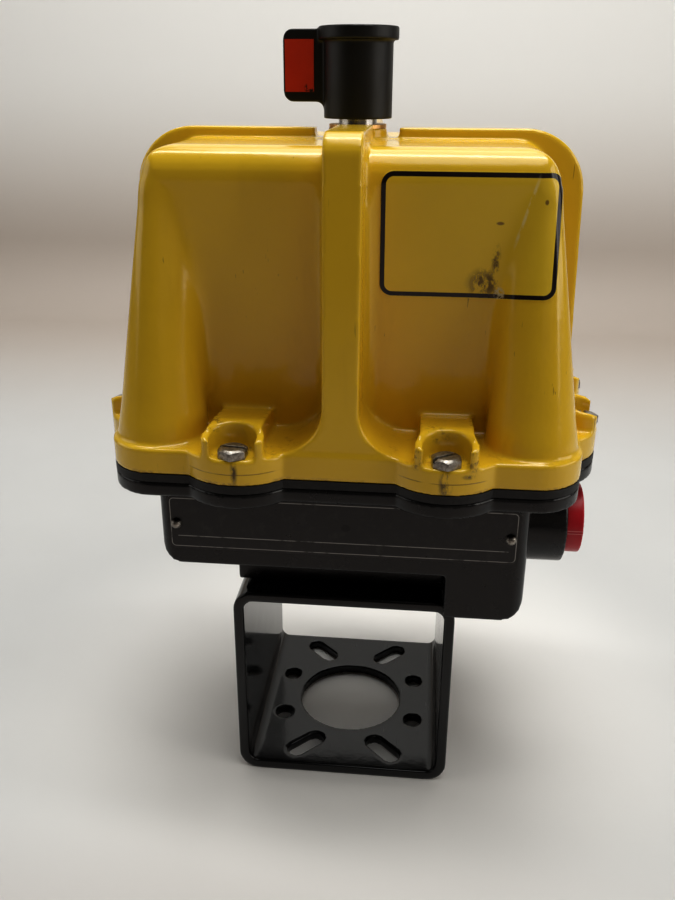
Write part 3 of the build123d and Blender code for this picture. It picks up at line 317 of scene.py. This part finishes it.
    gloss = p.spread(p.noise(9 * MM, 4, 0.6), 0.13, 0.30)
    p.roughness(p.either(gloss, p.both(p.either(chips, grease, p.both(hollow, 0.8)), 0.6)))
    p.bump(p.noise(1.6 * MM, 2), 0.035 * MM)
    p.bump(p.noise(11 * MM, 2), 0.16 * MM)
    p.bump(p.math("SUBTRACT", 1.0, p.either(chips, seam)), 0.12 * MM)
    p.shader.inputs["Coat Weight"].default_value = 0.35
    p.shader.inputs["Coat Roughness"].default_value = 0.06
    return p.material


def black_casting():
    """Semi-gloss black paint over a slightly rough casting, dusty on top and worn on its edges."""
    p = Paint("black_casting")
    point = p.pointiness()
    speck = p.noise(4 * MM, 5, 0.65)
    colour = p.mix(p.noise(30 * MM, 3), (0.005, 0.005, 0.0055), (0.012, 0.012, 0.012))
    dust = p.both(p.ramp(p.facing_up(), 0.3, 0.95), p.ramp(speck, 0.35, 0.7))
    colour = p.tint(colour, dust, 0.12, (0.12, 0.11, 0.10))
    worn = p.both(p.ramp(point, 0.54, 0.64), p.ramp(p.noise(9 * MM, 4, 0.6), 0.55, 0.70))
    colour = p.tint(colour, worn, 0.35, (0.10, 0.095, 0.09))
    p.colour(colour)
    p.roughness(p.spread(p.noise(8 * MM, 4, 0.6), 0.17, 0.34))
    p.bump(p.noise(0.9 * MM, 3, 0.6), 0.02 * MM)
    p.bump(p.noise(9 * MM, 2), 0.12 * MM)
    return p.material


def gloss_black():
    """Gloss black powder coat on steel tube, with fine scratches and a few rust freckles."""
    p = Paint("gloss_black")
    point = p.pointiness()
    colour = p.mix(p.noise(25 * MM, 3), (0.004, 0.004, 0.0045), (0.009, 0.0085, 0.0085))
    scratch = p.ramp(p.noise(0.8 * MM, 2, 0.4, stretch=(1, 18, 1)), 0.70, 0.74)
    colour = p.tint(colour, scratch, 0.25, (0.12, 0.12, 0.12))
    worn = p.both(p.ramp(point, 0.54, 0.62), p.ramp(p.noise(4 * MM, 5, 0.7), 0.55, 0.63))
    colour = p.tint(colour, worn, 0.55, (0.15, 0.10, 0.07))
    p.colour(colour)
    p.roughness(p.either(p.spread(p.noise(10 * MM, 4, 0.6), 0.06, 0.17), p.both(worn, 0.5)))
    p.bump(p.noise(2.2 * MM, 2), 0.018 * MM)
    p.bump(p.noise(18 * MM, 2), 0.10 * MM)
    return p.material


def metal(name, light, dark, rough_low, rough_high, grain=(1, 1, 1), grime=0.5, size=1.2 * MM,
          slot_floor=None):
    """Bare or plated metal: two tones, drawn or turned grain, grime in its corners.

    slot_floor, if given, is the level of the screw slots' floors, which are packed with dirt.
    """
    p = Paint(name)
    tone = p.noise(size, 4, 0.6, stretch=grain)
    colour = p.mix(p.ramp(tone, 0.3, 0.7), dark, light)
    dirt = p.both(p.ramp(p.pointiness(), 0.50, 0.44), p.ramp(p.noise(2 * MM, 5, 0.7), 0.38, 0.6))
    colour = p.tint(colour, dirt, grime, (0.05, 0.035, 0.025))
    if slot_floor:
        in_slot = p.ramp(p.axis("Z"), slot_floor + 0.5 * MM, slot_floor + 0.2 * MM)
        packed = p.both(in_slot, p.ramp(p.facing_up(), 0.4, 0.8))
        colour = p.mix(packed, colour, (0.03, 0.022, 0.016))
    p.colour(colour)
    p.metallic(1.0)
    p.roughness(p.spread(p.noise(3 * size, 4, 0.6, stretch=grain), rough_low, rough_high))
    p.bump(tone, 0.012 * MM)
    return p.material


def plastic(name, light, dark, rough_low, rough_high, dust=0.25, rub=0.25):
    """Moulded plastic or rubber: two close tones, a fine moulded grain, and dust on top."""
    p = Paint(name)
    colour = p.mix(p.noise(12 * MM, 4, 0.6), dark, light)
    specks = p.both(p.ramp(p.facing_up(), 0.2, 0.9), p.ramp(p.noise(2.5 * MM, 5, 0.7), 0.42, 0.7))
    colour = p.tint(colour, specks, dust, (0.30, 0.28, 0.25))
    rubbed = p.both(p.ramp(p.pointiness(), 0.53, 0.60), p.ramp(p.noise(3 * MM, 4, 0.7), 0.5, 0.62))
    colour = p.tint(colour, rubbed, rub, (0.35, 0.33, 0.31))
    p.colour(colour)
    p.roughness(p.spread(p.noise(6 * MM, 4, 0.6), rough_low, rough_high))
    p.bump(p.noise(0.5 * MM, 3, 0.6), 0.012 * MM)
    return p.material


def rectangle_distance(p, across, up, low, high, corner):
    """How far a place lies outside the rounded rectangle of a box's front face, in metres."""
    sides = []
    for value, start, end in ((across, low.x, high.x), (up, low.z, high.z)):
        away = p.math("ABSOLUTE", p.math("SUBTRACT", value, (start + end) / 2))
        sides.append(p.math("SUBTRACT", away, (end - start) / 2 - corner))
    outside = [p.math("MAXIMUM", side, 0.0) for side in sides]
    squares = [p.math("MULTIPLY", side, side) for side in outside]
    beyond = p.math("SQRT", p.math("ADD", *squares))
    inside = p.math("MINIMUM", p.math("MAXIMUM", *sides), 0.0)
    return p.math("SUBTRACT", p.math("ADD", beyond, inside), corner)


def label_film():
    """Clear-coated yellow film with a dark border. Its face is blank, with grime, a scratch and spots."""
    p = Paint("label_film")
    right, foot, top = label_high.x, label_low.z, label_high.z

    def oval(x, z, width, height, soft=0.5):
        """A soft oval on the face, all the way through the film."""
        return p.near((x, LABEL_Y, z), (width, LABEL_REACH, height), soft)

    across, level = p.axis("X"), p.axis("Z")
    back = p.math("ADD", p.math("MULTIPLY", level, POCKET_LEAN), POCKET_BACK - RISE_START)
    forward = p.math("MAXIMUM", p.math("SUBTRACT", back, p.axis("Y")), 0.0)
    up = p.math("SUBTRACT", level, p.math("MULTIPLY", forward, FILM_RISE))
    distance = rectangle_distance(p, across, up, label_low, label_high, LABEL_CORNER)
    yellow = p.mix(p.noise(30 * MM, 3), (0.76, 0.53, 0.040), (0.82, 0.59, 0.050))
    border = p.both(p.ramp(distance, -2.05 * MM, -1.90 * MM), p.ramp(distance, -0.15 * MM, -0.30 * MM))
    colour = p.mix(border, yellow, (0.016, 0.009, 0.009))
    smear_places = p.either(
        oval(right - 26 * MM, foot + 6 * MM, 9 * MM, 7.5 * MM, 0.7),
        oval(right - 22.5 * MM, foot + 15 * MM, 2.2 * MM, 8 * MM, 0.8),
    )
    smear = p.both(smear_places, p.ramp(p.noise(3.4 * MM, 5, 0.7, stretch=(1, 1, 1.8)), 0.44, 0.56))
    colour = p.tint(colour, smear, 0.85, (0.10, 0.055, 0.022))
    flake_place = oval(right - 20.5 * MM, foot + 2.5 * MM, 2.4 * MM, 3.2 * MM)
    flake = p.both(flake_place, p.ramp(p.noise(1.8 * MM, 4, 0.7), 0.44, 0.52))
    colour = p.tint(colour, flake, 0.8, (0.66, 0.60, 0.42))
    slope = p.math("SUBTRACT", across, p.math("MULTIPLY", p.math("SUBTRACT", up, foot), 0.28))
    from_scratch = p.math("ABSOLUTE", p.math("SUBTRACT", slope, right - 22 * MM))
    scratch = p.both(
        p.ramp(from_scratch, 0.9 * MM, 0.1 * MM),
        oval(right - 14 * MM, top - 14 * MM, 12 * MM, 16 * MM),
        p.ramp(p.noise(2.6 * MM, 4, 0.7, stretch=(1, 1, 3)), 0.42, 0.58),
    )
    colour = p.tint(colour, scratch, 0.5, (0.90, 0.84, 0.55))
    spots = p.either(
        oval(right - 6 * MM, top - 10.4 * MM, 0.9 * MM, 1.2 * MM),
        oval(right - 22 * MM, top - 18.5 * MM, 1.8 * MM, 0.8 * MM),
    )
    colour = p.tint(colour, spots, 0.8, (0.16, 0.075, 0.03))
    p.colour(colour)
    p.roughness(p.either(p.spread(p.noise(7 * MM, 4, 0.6), 0.10, 0.24), p.both(p.either(smear, flake), 0.5)))
    p.bump(p.noise(14 * MM, 2), 0.10 * MM)
    p.bump(p.noise(2 * MM, 2), 0.01 * MM)
    return p.material


def nameplate_metal():
    """Blank black plate with a fine bare-metal border and a dividing line."""
    p = Paint("nameplate_metal")
    across, up = p.axis("X"), p.axis("Z")
    distance = rectangle_distance(p, across, up, plate_low, plate_high, 3 * MM)
    worn = p.ramp(p.noise(9 * MM, 5, 0.7), 0.30, 0.48)
    border = p.both(p.ramp(distance, -1.45 * MM, -1.35 * MM), p.ramp(distance, -1.00 * MM, -1.10 * MM))
    line_away = p.math("ABSOLUTE", p.math("SUBTRACT", up, plate_low.z + 6.2 * MM))
    line = p.both(p.ramp(line_away, 0.22 * MM, 0.15 * MM), p.ramp(distance, -4.0 * MM, -4.2 * MM))
    bare = p.both(p.either(border, line), worn)
    black = p.mix(p.noise(20 * MM, 4, 0.6), (0.010, 0.010, 0.011), (0.020, 0.019, 0.019))
    dull = p.both(p.ramp(p.noise(6 * MM, 5, 0.7), 0.5, 0.7), 0.25)
    black = p.mix(dull, black, (0.06, 0.057, 0.053))
    # Painted shade: a darker spot where the plate is dented
    dent_shade_place = (2 * MM, plate_low.y, (plate_low.z + plate_high.z) / 2 + 1 * MM)
    dent_shade = p.near(dent_shade_place, (2.4 * MM, 5 * MM, 2.2 * MM), 0.4)
    black = p.mix(dent_shade, black, (0.003, 0.003, 0.003))
    p.colour(p.mix(bare, black, (0.30, 0.30, 0.29)))
    p.metallic(bare)
    p.roughness(p.spread(p.noise(5 * MM, 4, 0.6), 0.22, 0.40))
    p.bump(p.noise(12 * MM, 2), 0.05 * MM)
    p.bump(p.math("SUBTRACT", 1.0, p.either(border, line)), 0.03 * MM)
    return p.material


def red_plastic():
    """Moulded red plastic, scuffed and a little faded."""
    p = Paint("red_plastic")
    colour = p.mix(p.noise(8 * MM, 4, 0.6), (0.42, 0.008, 0.018), (0.56, 0.018, 0.030))
    scuff = p.both(p.ramp(p.pointiness(), 0.53, 0.60), p.ramp(p.noise(2 * MM, 4, 0.7), 0.46, 0.6))
    colour = p.tint(colour, scuff, 0.5, (0.75, 0.22, 0.20))
    from_seam = p.math("ABSOLUTE", p.math("SUBTRACT", p.axis("Z"), (plug_low.z + plug_high.z) / 2))
    seam = p.both(p.ramp(from_seam, 0.95 * MM, 0.80 * MM), p.ramp(from_seam, 0.35 * MM, 0.50 * MM))
    # The seam is a raised double line; its lighter tone is a painted highlight along it
    colour = p.tint(colour, seam, 0.5, (0.80, 0.30, 0.30))
    p.colour(colour)
    p.roughness(p.spread(p.noise(5 * MM, 4, 0.6), 0.28, 0.44))
    p.bump(p.noise(0.6 * MM, 3, 0.6), 0.01 * MM)
    p.bump(seam, 0.15 * MM)
    return p.material


def orange_film():
    """Orange-red marker film with a torn corner."""
    p = Paint("orange_film")
    colour = p.mix(p.noise(10 * MM, 3), (0.52, 0.035, 0.010), (0.66, 0.055, 0.014))
    corner = (marker_high.x - 1.5 * MM, marker_low.y, marker_low.z + 1.5 * MM)
    ragged = p.ramp(p.noise(2.4 * MM, 3, 0.6), 0.50, 0.58)
    torn = p.both(p.near(corner, (3.0 * MM, 3 * MM, 2.4 * MM)), ragged)
    colour = p.mix(torn, colour, (0.012, 0.010, 0.010))
    p.colour(colour)
    p.roughness(p.spread(p.noise(6 * MM, 4, 0.6), 0.28, 0.45))
    p.bump(p.noise(5 * MM, 3), 0.03 * MM)
    return p.material


MATERIALS = {
    "yellow_casting": yellow_enamel(),
    "black_casting": black_casting(),
    "black_paint": gloss_black(),
    "gasket": plastic("gasket_rubber", (0.010, 0.010, 0.010), (0.006, 0.006, 0.006), 0.4, 0.6,
                      dust=0.0, rub=0.02),
    "stainless": metal("stainless", (0.42, 0.40, 0.36), (0.22, 0.20, 0.18), 0.34, 0.54,
                       grime=0.95, slot_floor=LEDGE + SLOT_FLOOR),
    "zinc_steel": metal("zinc_steel", (0.62, 0.61, 0.57), (0.46, 0.46, 0.44), 0.28, 0.48),
    "black_steel": metal("black_steel", (0.05, 0.05, 0.05), (0.03, 0.03, 0.03), 0.3, 0.5),
    "label_film": label_film(),
    "nameplate": nameplate_metal(),
    "red_plastic": red_plastic(),
    "bronze": metal("bronze", (0.66, 0.43, 0.20), (0.48, 0.30, 0.13), 0.25, 0.45),
    "rubber": plastic("seal_rubber", (0.024, 0.024, 0.024), (0.014, 0.014, 0.014), 0.5, 0.75),
    "steel": metal("machined_steel", (0.58, 0.57, 0.55), (0.42, 0.41, 0.40), 0.20, 0.38, grain=(6, 6, 1)),
    "motor_paint": plastic("motor_paint", (0.040, 0.045, 0.052), (0.025, 0.029, 0.034), 0.3, 0.5),
    "cast_aluminium": metal("cast_aluminium", (0.70, 0.70, 0.71), (0.55, 0.55, 0.56), 0.35, 0.6,
                            size=0.8 * MM),
    "capacitor_can": metal("capacitor_can", (0.78, 0.78, 0.79), (0.66, 0.66, 0.67), 0.2, 0.34,
                           grain=(1, 1, 8)),
    "switch_plastic": plastic("switch_plastic", (0.030, 0.030, 0.032), (0.018, 0.018, 0.020), 0.4, 0.6),
    "cam_plastic": plastic("cam_plastic", (0.80, 0.76, 0.66), (0.70, 0.66, 0.55), 0.4, 0.6, dust=0.1),
    "black_plastic": plastic("black_plastic", (0.006, 0.0055, 0.005), (0.004, 0.0035, 0.003), 0.36, 0.52,
                             dust=0.12, rub=0.1),
    "orange_film": orange_film(),
}


# Meshes

def new_object(name, data):
    """An object in the scene for a mesh, a light or a camera."""
    obj = bpy.data.objects.new(name, data)
    scene.collection.objects.link(obj)
    return obj


def join(name, meshes, place=(0, 0, 0)):
    """One mesh made of several, moved to a place."""
    joined = bmesh.new()
    for mesh in meshes:
        joined.from_mesh(mesh)
    bmesh.ops.translate(joined, vec=place, verts=joined.verts)
    data = bpy.data.meshes.new(name)
    joined.to_mesh(data)
    joined.free()
    return data


def sheet_mesh(name, rows):
    """An open mesh through rows of equally many points."""
    mesh = bmesh.new()
    made = [[mesh.verts.new(point) for point in row] for row in rows]
    for low, high in zip(made, made[1:]):
        for step in range(len(low) - 1):
            mesh.faces.new((low[step], low[step + 1], high[step + 1], high[step]))
    data = bpy.data.meshes.new(name)
    mesh.to_mesh(data)
    mesh.free()
    return data


def ring_mesh(name, rings):
    """A closed mesh through rings of equally many points, with a face over both ends."""
    mesh = bmesh.new()
    made = [[mesh.verts.new(point) for point in ring] for ring in rings]
    count = len(rings[0])
    for low, high in zip(made, made[1:]):
        for step in range(count):
            following = (step + 1) % count
            mesh.faces.new((low[step], low[following], high[following], high[step]))
    mesh.faces.new(list(reversed(made[0])))
    mesh.faces.new(made[-1])
    data = bpy.data.meshes.new(name)
    mesh.to_mesh(data)
    mesh.free()
    return data


def finish_piece(obj, body, slot, node):
    """Gives a piece its finish and its body, and hides the CAD node that it stands for."""
    obj.data.materials.clear()
    obj.data.materials.append(MATERIALS[slot])
    for face in obj.data.polygons:
        face.use_smooth = True
    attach(obj, body)
    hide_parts(node)


def apply_modifiers(obj):
    """Turns an object's modifiers into its mesh."""
    graph = bpy.context.evaluated_depsgraph_get()
    mesh = bpy.data.meshes.new_from_object(obj.evaluated_get(graph))
    obj.modifiers.clear()
    obj.data = mesh


def flag_web():
    """A concave web that fills the corner between the indicator's flag and its barrel."""
    radius = 3.2 * MM
    centre_x = -CAP_RADIUS - radius
    centre_z = FLAG_UNDERSIDE - radius
    inside_barrel = -CAP_RADIUS + 1.2 * MM
    inside_flag = FLAG_UNDERSIDE + 1 * MM
    outline = [(inside_barrel, centre_z), (inside_barrel, inside_flag), (centre_x, inside_flag)]
    steps = 8
    for step in range(steps + 1):
        angle = math.pi / 2 * (1 - step / steps)
        outline.append((centre_x + radius * math.cos(angle), centre_z + radius * math.sin(angle)))
    faces = [[(x, y, z) for x, z in outline] for y in (-FLAG_HALF, FLAG_HALF)]
    return ring_mesh("flag_web", faces)


def cast_copy(node, name, voxel, smoothing, soft=None, extra=None):
    """A CAD node's shape with its edges and corners rounded as on a casting or moulding.

    voxel is the size that it is remeshed at, and smoothing the number of passes that round it. soft, if
    given, takes arrays of x, y and z and returns how much further each place is smoothed, 0 to 1. extra
    is a mesh that is cast with it.
    """
    obj = new_object(name, nodes[node].data.copy())
    if extra:
        obj.data = join(name, [obj.data, extra])
    remesh = obj.modifiers.new("cast", "REMESH")
    remesh.mode = "VOXEL"
    remesh.voxel_size = voxel
    remesh.use_smooth_shade = True
    smooth = obj.modifiers.new("rounds", "SMOOTH")
    smooth.factor = 0.5
    smooth.iterations = smoothing
    apply_modifiers(obj)
    if soft:
        places = np.empty(3 * len(obj.data.vertices))
        obj.data.vertices.foreach_get("co", places)
        tenths = np.round(10 * soft(*places.reshape(-1, 3).T)).astype(int)
        group = obj.vertex_groups.new(name="soft")
        for level in range(1, 11):
            group.add(np.flatnonzero(tenths == level).tolist(), level / 10, "REPLACE")
        blend = obj.modifiers.new("soft", "SMOOTH")
        blend.factor = 0.5
        blend.iterations = SOFT_STEPS
        blend.vertex_group = "soft"
        apply_modifiers(obj)
    return obj


def fade(value, low, high):
    """0 below low and 1 above high, straight between."""
    return np.clip((value - low) / (high - low), 0, 1)


def pocket_softness(x, y, z):
    """Full in the cover's recessed faces and corner columns, clear of the rib, the pads and the flange.

    Places are in metres and are the same on all four sides. The fades are in millimetres: sideways and
    forwards from the middle, and upwards from the ledge.
    """
    side, front, above = np.abs(x) / MM, np.abs(y) / MM, (z - LEDGE) / MM
    recess = fade(front, 20, 32) * fade(side, 14, 24) * fade(above, 6, 16) * (1 - fade(above, 94, 101))
    from_screw = np.abs(side - FRONT_SCREW_X / MM)
    pad = (1 - fade(from_screw, 12, 18)) * (1 - fade(above, 16, 23))
    shoulder = fade(side, 72, 78) * fade(front, 40, 46) * fade(above, 84, 90) * (1 - fade(above, 110, 114))
    return np.maximum(recess * (1 - pad), 0.5 * shoulder)


def hex_head(chamfer, turn):
    """A hexagon head standing on the origin, as rings of points at its foot, its rim and its flat top.

    chamfer is how far the rim drops for each metre that it lies outside the flat top.
    """
    points = 96
    half = HEAD_ACROSS_FLATS / 2
    flat_radius = half * 0.80
    foot, rim, top = [], [], []
    for step in range(points):
        angle = 2 * math.pi * step / points
        from_flat = (angle - turn) % (math.pi / 3) - math.pi / 6
        outer = half / math.cos(from_flat)
        across, along = math.cos(angle), math.sin(angle)
        foot.append((outer * across, outer * along, 0.0))
        rim.append((outer * across, outer * along, HEAD_HEIGHT - (outer - flat_radius) * chamfer))
        top.append((flat_radius * across, flat_radius * along, HEAD_HEIGHT))
    return [foot, rim, top]


def turned(profile):
    """Rings of points for a shape turned about Z from (radius, level) pairs."""
    steps = 64
    angles = [2 * math.pi * step / steps for step in range(steps)]
    return [
        [(radius * math.cos(a), radius * math.sin(a), level) for a in angles]
        for radius, level in profile
    ]


def cover_screw(name, place, turn, slot_turn):
    """A slotted hexagon screw with a chamfered head, turned to one angle and its slot to another."""
    head = new_object(name, ring_mesh(name, hex_head(0.55, turn)))
    slot_length = 14 * MM       # past the head's corners
    slot_width = 1.6 * MM
    slot_depth = HEAD_HEIGHT - SLOT_FLOOR
    box = bmesh.new()
    bmesh.ops.create_cube(box, size=1.0)
    bmesh.ops.scale(box, vec=(slot_length, slot_width, 2 * slot_depth), verts=box.verts)
    bmesh.ops.rotate(box, matrix=Matrix.Rotation(slot_turn, 3, "Z"), verts=box.verts)
    bmesh.ops.translate(box, vec=(0, 0, HEAD_HEIGHT), verts=box.verts)
    cutter = bpy.data.meshes.new("slot")
    box.to_mesh(cutter)
    box.free()
    slot = new_object("slot", cutter)
    cut = head.modifiers.new("slot", "BOOLEAN")
    cut.operation = "DIFFERENCE"
    cut.solver = "EXACT"
    cut.object = slot
    soft = head.modifiers.new("edges", "BEVEL")
    soft.width = 0.3 * MM
    soft.segments = 2
    soft.angle_limit = math.radians(28)
    apply_modifiers(head)
    bpy.data.objects.remove(slot)
    shank_low = screws_low.z - LEDGE
    shank_radius = 3.1 * MM
    shank = ring_mesh("shank", turned([
        (shank_radius - 0.2 * MM, shank_low),
        (shank_radius, shank_low + 0.3 * MM),
        (shank_radius, 0.4 * MM),
    ]))
    head.data = join(name, [head.data, shank], place)
    return head


def cover_screws():
    """The eight screws of the cover, joined as one piece. Each was left at an angle of its own."""
    corners = [(sx, sy) for sx in (-1, 1) for sy in (-1, 1)]
    places = [(sx * FRONT_SCREW_X, sy * FRONT_SCREW_Y, LEDGE) for sx, sy in corners]
    places += [(sx * SIDE_SCREW_X, sy * SIDE_SCREW_Y, LEDGE) for sx, sy in corners]
    turns = (0.50, 1.9, 0.62, 2.6, 0.8, 1.2, 2.2, 0.5)
    slot_turns = (-0.10, 1.3, 0.60, 2.1, 0.4, 0.9, 1.6, 2.8)
    screws = [cover_screw(f"screw_{n}", *row) for n, row in enumerate(zip(places, turns, slot_turns))]
    data = join("cover_screw_set", [screw.data for screw in screws])
    for screw in screws:
        bpy.data.objects.remove(screw)
    finish_piece(new_object("cover_screw_set", data), "housing", "stainless", "cover_screws")


def wrapped_label(cover):
    """A film laid on the cover's face: a rounded rectangle pressed back along Y onto the mesh."""
    tree = BVHTree.FromObject(cover, bpy.context.evaluated_depsgraph_get())
    columns, rows = 150, 110
    ray_start = -0.3            # in front of the whole object
    lift = 0.22 * MM            # of the film off the cover
    grid = []
    for row in range(rows + 1):
        share = 0.5 - 0.5 * math.cos(math.pi * row / rows)      # rows lie closer near both ends
        z = label_low.z + share * (label_high.z - label_low.z)
        into_corner = max(LABEL_CORNER - min(z - label_low.z, label_high.z - z), 0)
        short = LABEL_CORNER - math.sqrt(max(LABEL_CORNER**2 - into_corner**2, 0))
        line = []
        for column in range(columns + 1):
            x = label_low.x + short + (label_high.x - label_low.x - 2 * short) * column / columns
            rise = 0.0
            for _ in range(5):
                start = Vector((x, ray_start, z + rise))
                hit, normal = tree.ray_cast(start, Vector((0, 1, 0)))[:2]
                forward = POCKET_BACK + POCKET_LEAN * hit.z - RISE_START - hit.y
                rise = FILM_RISE * max(forward, 0)
            line.append(hit + normal * lift)
        grid.append(line)
    film = new_object("label_film", sheet_mesh("label_film", grid))
    relax = film.modifiers.new("press", "SMOOTH")
    relax.iterations = 3
    solid = film.modifiers.new("thickness", "SOLIDIFY")
    solid.thickness = 0.3 * MM
    solid.offset = -1
    apply_modifiers(film)
    finish_piece(film, "housing", "label_film", "cover_label")


def build_pieces():
    """Every detailed piece that stands for a CAD node."""
    cover = cast_copy("cover_housing", "cast_cover", 0.85 * MM, 3, pocket_softness)
    finish_piece(cover, "housing", "yellow_casting", "cover_housing")
    wrapped_label(cover)
    base = cast_copy("base_housing", "cast_base", 0.9 * MM, 3)
    finish_piece(base, "housing", "black_casting", "base_housing")
    bracket = cast_copy("mounting_bracket", "tube_bracket", 0.9 * MM, 2)
    finish_piece(bracket, "housing", "black_paint", "mounting_bracket")
    cap = cast_copy("indicator_cap", "moulded_cap", 0.5 * MM, 4, extra=flag_web())
    finish_piece(cap, "override", "black_plastic", "indicator_cap")
    for side in ("front", "rear"):
        node = side + "_conduit_plug"
        finish_piece(cast_copy(node, side + "_plug", 0.45 * MM, 5), "housing", "red_plastic", node)
    cover_screws()


def paint_nodes():
    """Gives every CAD node the finish of its slot."""
    for row in frame["record"]["subparts"]:
        mesh = nodes[row["node"]].data
        mesh.materials.clear()
        mesh.materials.append(MATERIALS[row["material_slot"]])


# Stage, light and camera

def paper():
    """Pale matt paper with a faint mottle, with painted light and shade in its colour."""
    p = Paint("paper")
    level, depth = p.axis("Z"), p.axis("Y")
    colour = p.mix(p.noise(0.12, 3), (0.56, 0.56, 0.555), (0.61, 0.61, 0.605))

    # Painted light: paler up the wall, and a painted pool of light round the object's foot that fills its
    # shadow
    colour = p.mix(p.ramp(level, 0.02, 0.20), colour, (0.82, 0.815, 0.80))
    colour = p.mix(p.near((0, 0, 0), (0.24, 0.24, 0.1), 0.8), colour, (0.93, 0.91, 0.88))

    # Painted shade: warmer and darker at the fold, and towards the camera
    fold_shade = p.both(p.ramp(depth, 0.30, 0.80), p.ramp(level, 0.34, 0.06))
    colour = p.tint(colour, fold_shade, 0.9, (0.52, 0.46, 0.41))
    colour = p.tint(colour, p.ramp(depth, -0.08, -0.26), 0.8, (0.62, 0.54, 0.50))
    p.colour(colour)
    p.roughness(0.62)
    p.bump(p.noise(3 * MM, 3), 0.03 * MM)
    return p.material


def backdrop():
    """Paper that lies flat in front and sweeps up behind the object."""
    floor = bracket_low.z
    half_width = 1.8
    front = -1.6
    bend = 0.10                 # radius of the sweep
    bend_start = 0.78           # Y where the floor begins to rise
    height = 1.7
    line = [(front, floor), (-0.6, floor), (0.0, floor)]    # the last two keep the floor's shading flat
    steps = 16
    for step in range(steps + 1):
        angle = math.pi / 2 * step / steps
        line.append((bend_start + bend * math.sin(angle), floor + bend * (1 - math.cos(angle))))
    line.append((bend_start + bend, floor + height))
    data = sheet_mesh("backdrop", [[(x, y, z) for x in (-half_width, half_width)] for y, z in line])
    data.materials.append(paper())
    for face in data.polygons:
        face.use_smooth = True
    new_object("backdrop", data)


def softbox(name, place, aim, size, power, colour):
    """A rectangular lamp at a place, turned towards another."""
    light = bpy.data.lights.new(name, "AREA")
    light.shape = "RECTANGLE"
    light.size, light.size_y = size
    light.energy = power
    light.color = colour
    obj = new_object(name, light)
    obj.location = place
    obj.rotation_euler = (Vector(aim) - Vector(place)).to_track_quat("-Z", "Y").to_euler()


def lights():
    """Soft lamps over the object and the wall, weak ones at the sides, and a dim warm room."""
    middle = (0, 0, 0.2)
    softbox("overhead", (0.10, 0.03, 1.28), middle, (1.4, 0.65), 9.5, (0.98, 1.0, 0.99))
    softbox("wall_light", (-0.15, 0.10, 1.5), (0, 0.88, 0.62), (1.5, 0.25), 12.5, (1.0, 0.99, 0.97))
    softbox("left_window", (-1.1, -0.55, 0.55), middle, (0.16, 0.9), 0.25, (1.0, 0.97, 0.92))
    softbox("right_window", (1.1, -0.50, 0.55), middle, (0.16, 0.9), 0.9, (1.0, 0.94, 0.85))
    foot = (0, 0, 0.02)
    softbox("right_sky", (0.95, -0.15, 0.50), foot, (0.8, 0.6), 3.2, (1.0, 0.98, 0.94))
    softbox("left_sky", (-0.95, -0.10, 0.50), foot, (0.8, 0.6), 1.8, (1.0, 0.98, 0.94))
    softbox("front_fill", (0.7, -1.4, 0.6), (0, 0, 0.12), (1.2, 0.8), 0.5, (1.0, 0.86, 0.70))
    world = bpy.data.worlds.new("room")
    world.use_nodes = True
    background = world.node_tree.nodes["Background"]
    background.inputs["Color"].default_value = (1.0, 0.88, 0.76, 1)
    background.inputs["Strength"].default_value = 0.05
    scene.world = world


def camera():
    """The viewpoint: close, a little right of the middle, looking down."""
    lens = bpy.data.cameras.new("camera")
    lens.sensor_width = 36
    lens.lens = 35.33
    lens.clip_start = 0.02
    obj = new_object("camera", lens)
    place = Matrix.Translation((0.0301, -0.3951, 0.3182))
    yaw = Matrix.Rotation(math.radians(5.5), 4, "Z")
    pitch = Matrix.Rotation(math.radians(67.19), 4, "X")
    roll = Matrix.Rotation(math.radians(0.27), 4, "Z")
    obj.matrix_world = place @ yaw @ pitch @ roll
    scene.camera = obj


camera()
paint_nodes()
build_pieces()
backdrop()
lights()
scene.view_settings.view_transform = "Standard"
scene.view_settings.gamma = 0.74            # gives the photo's contrast
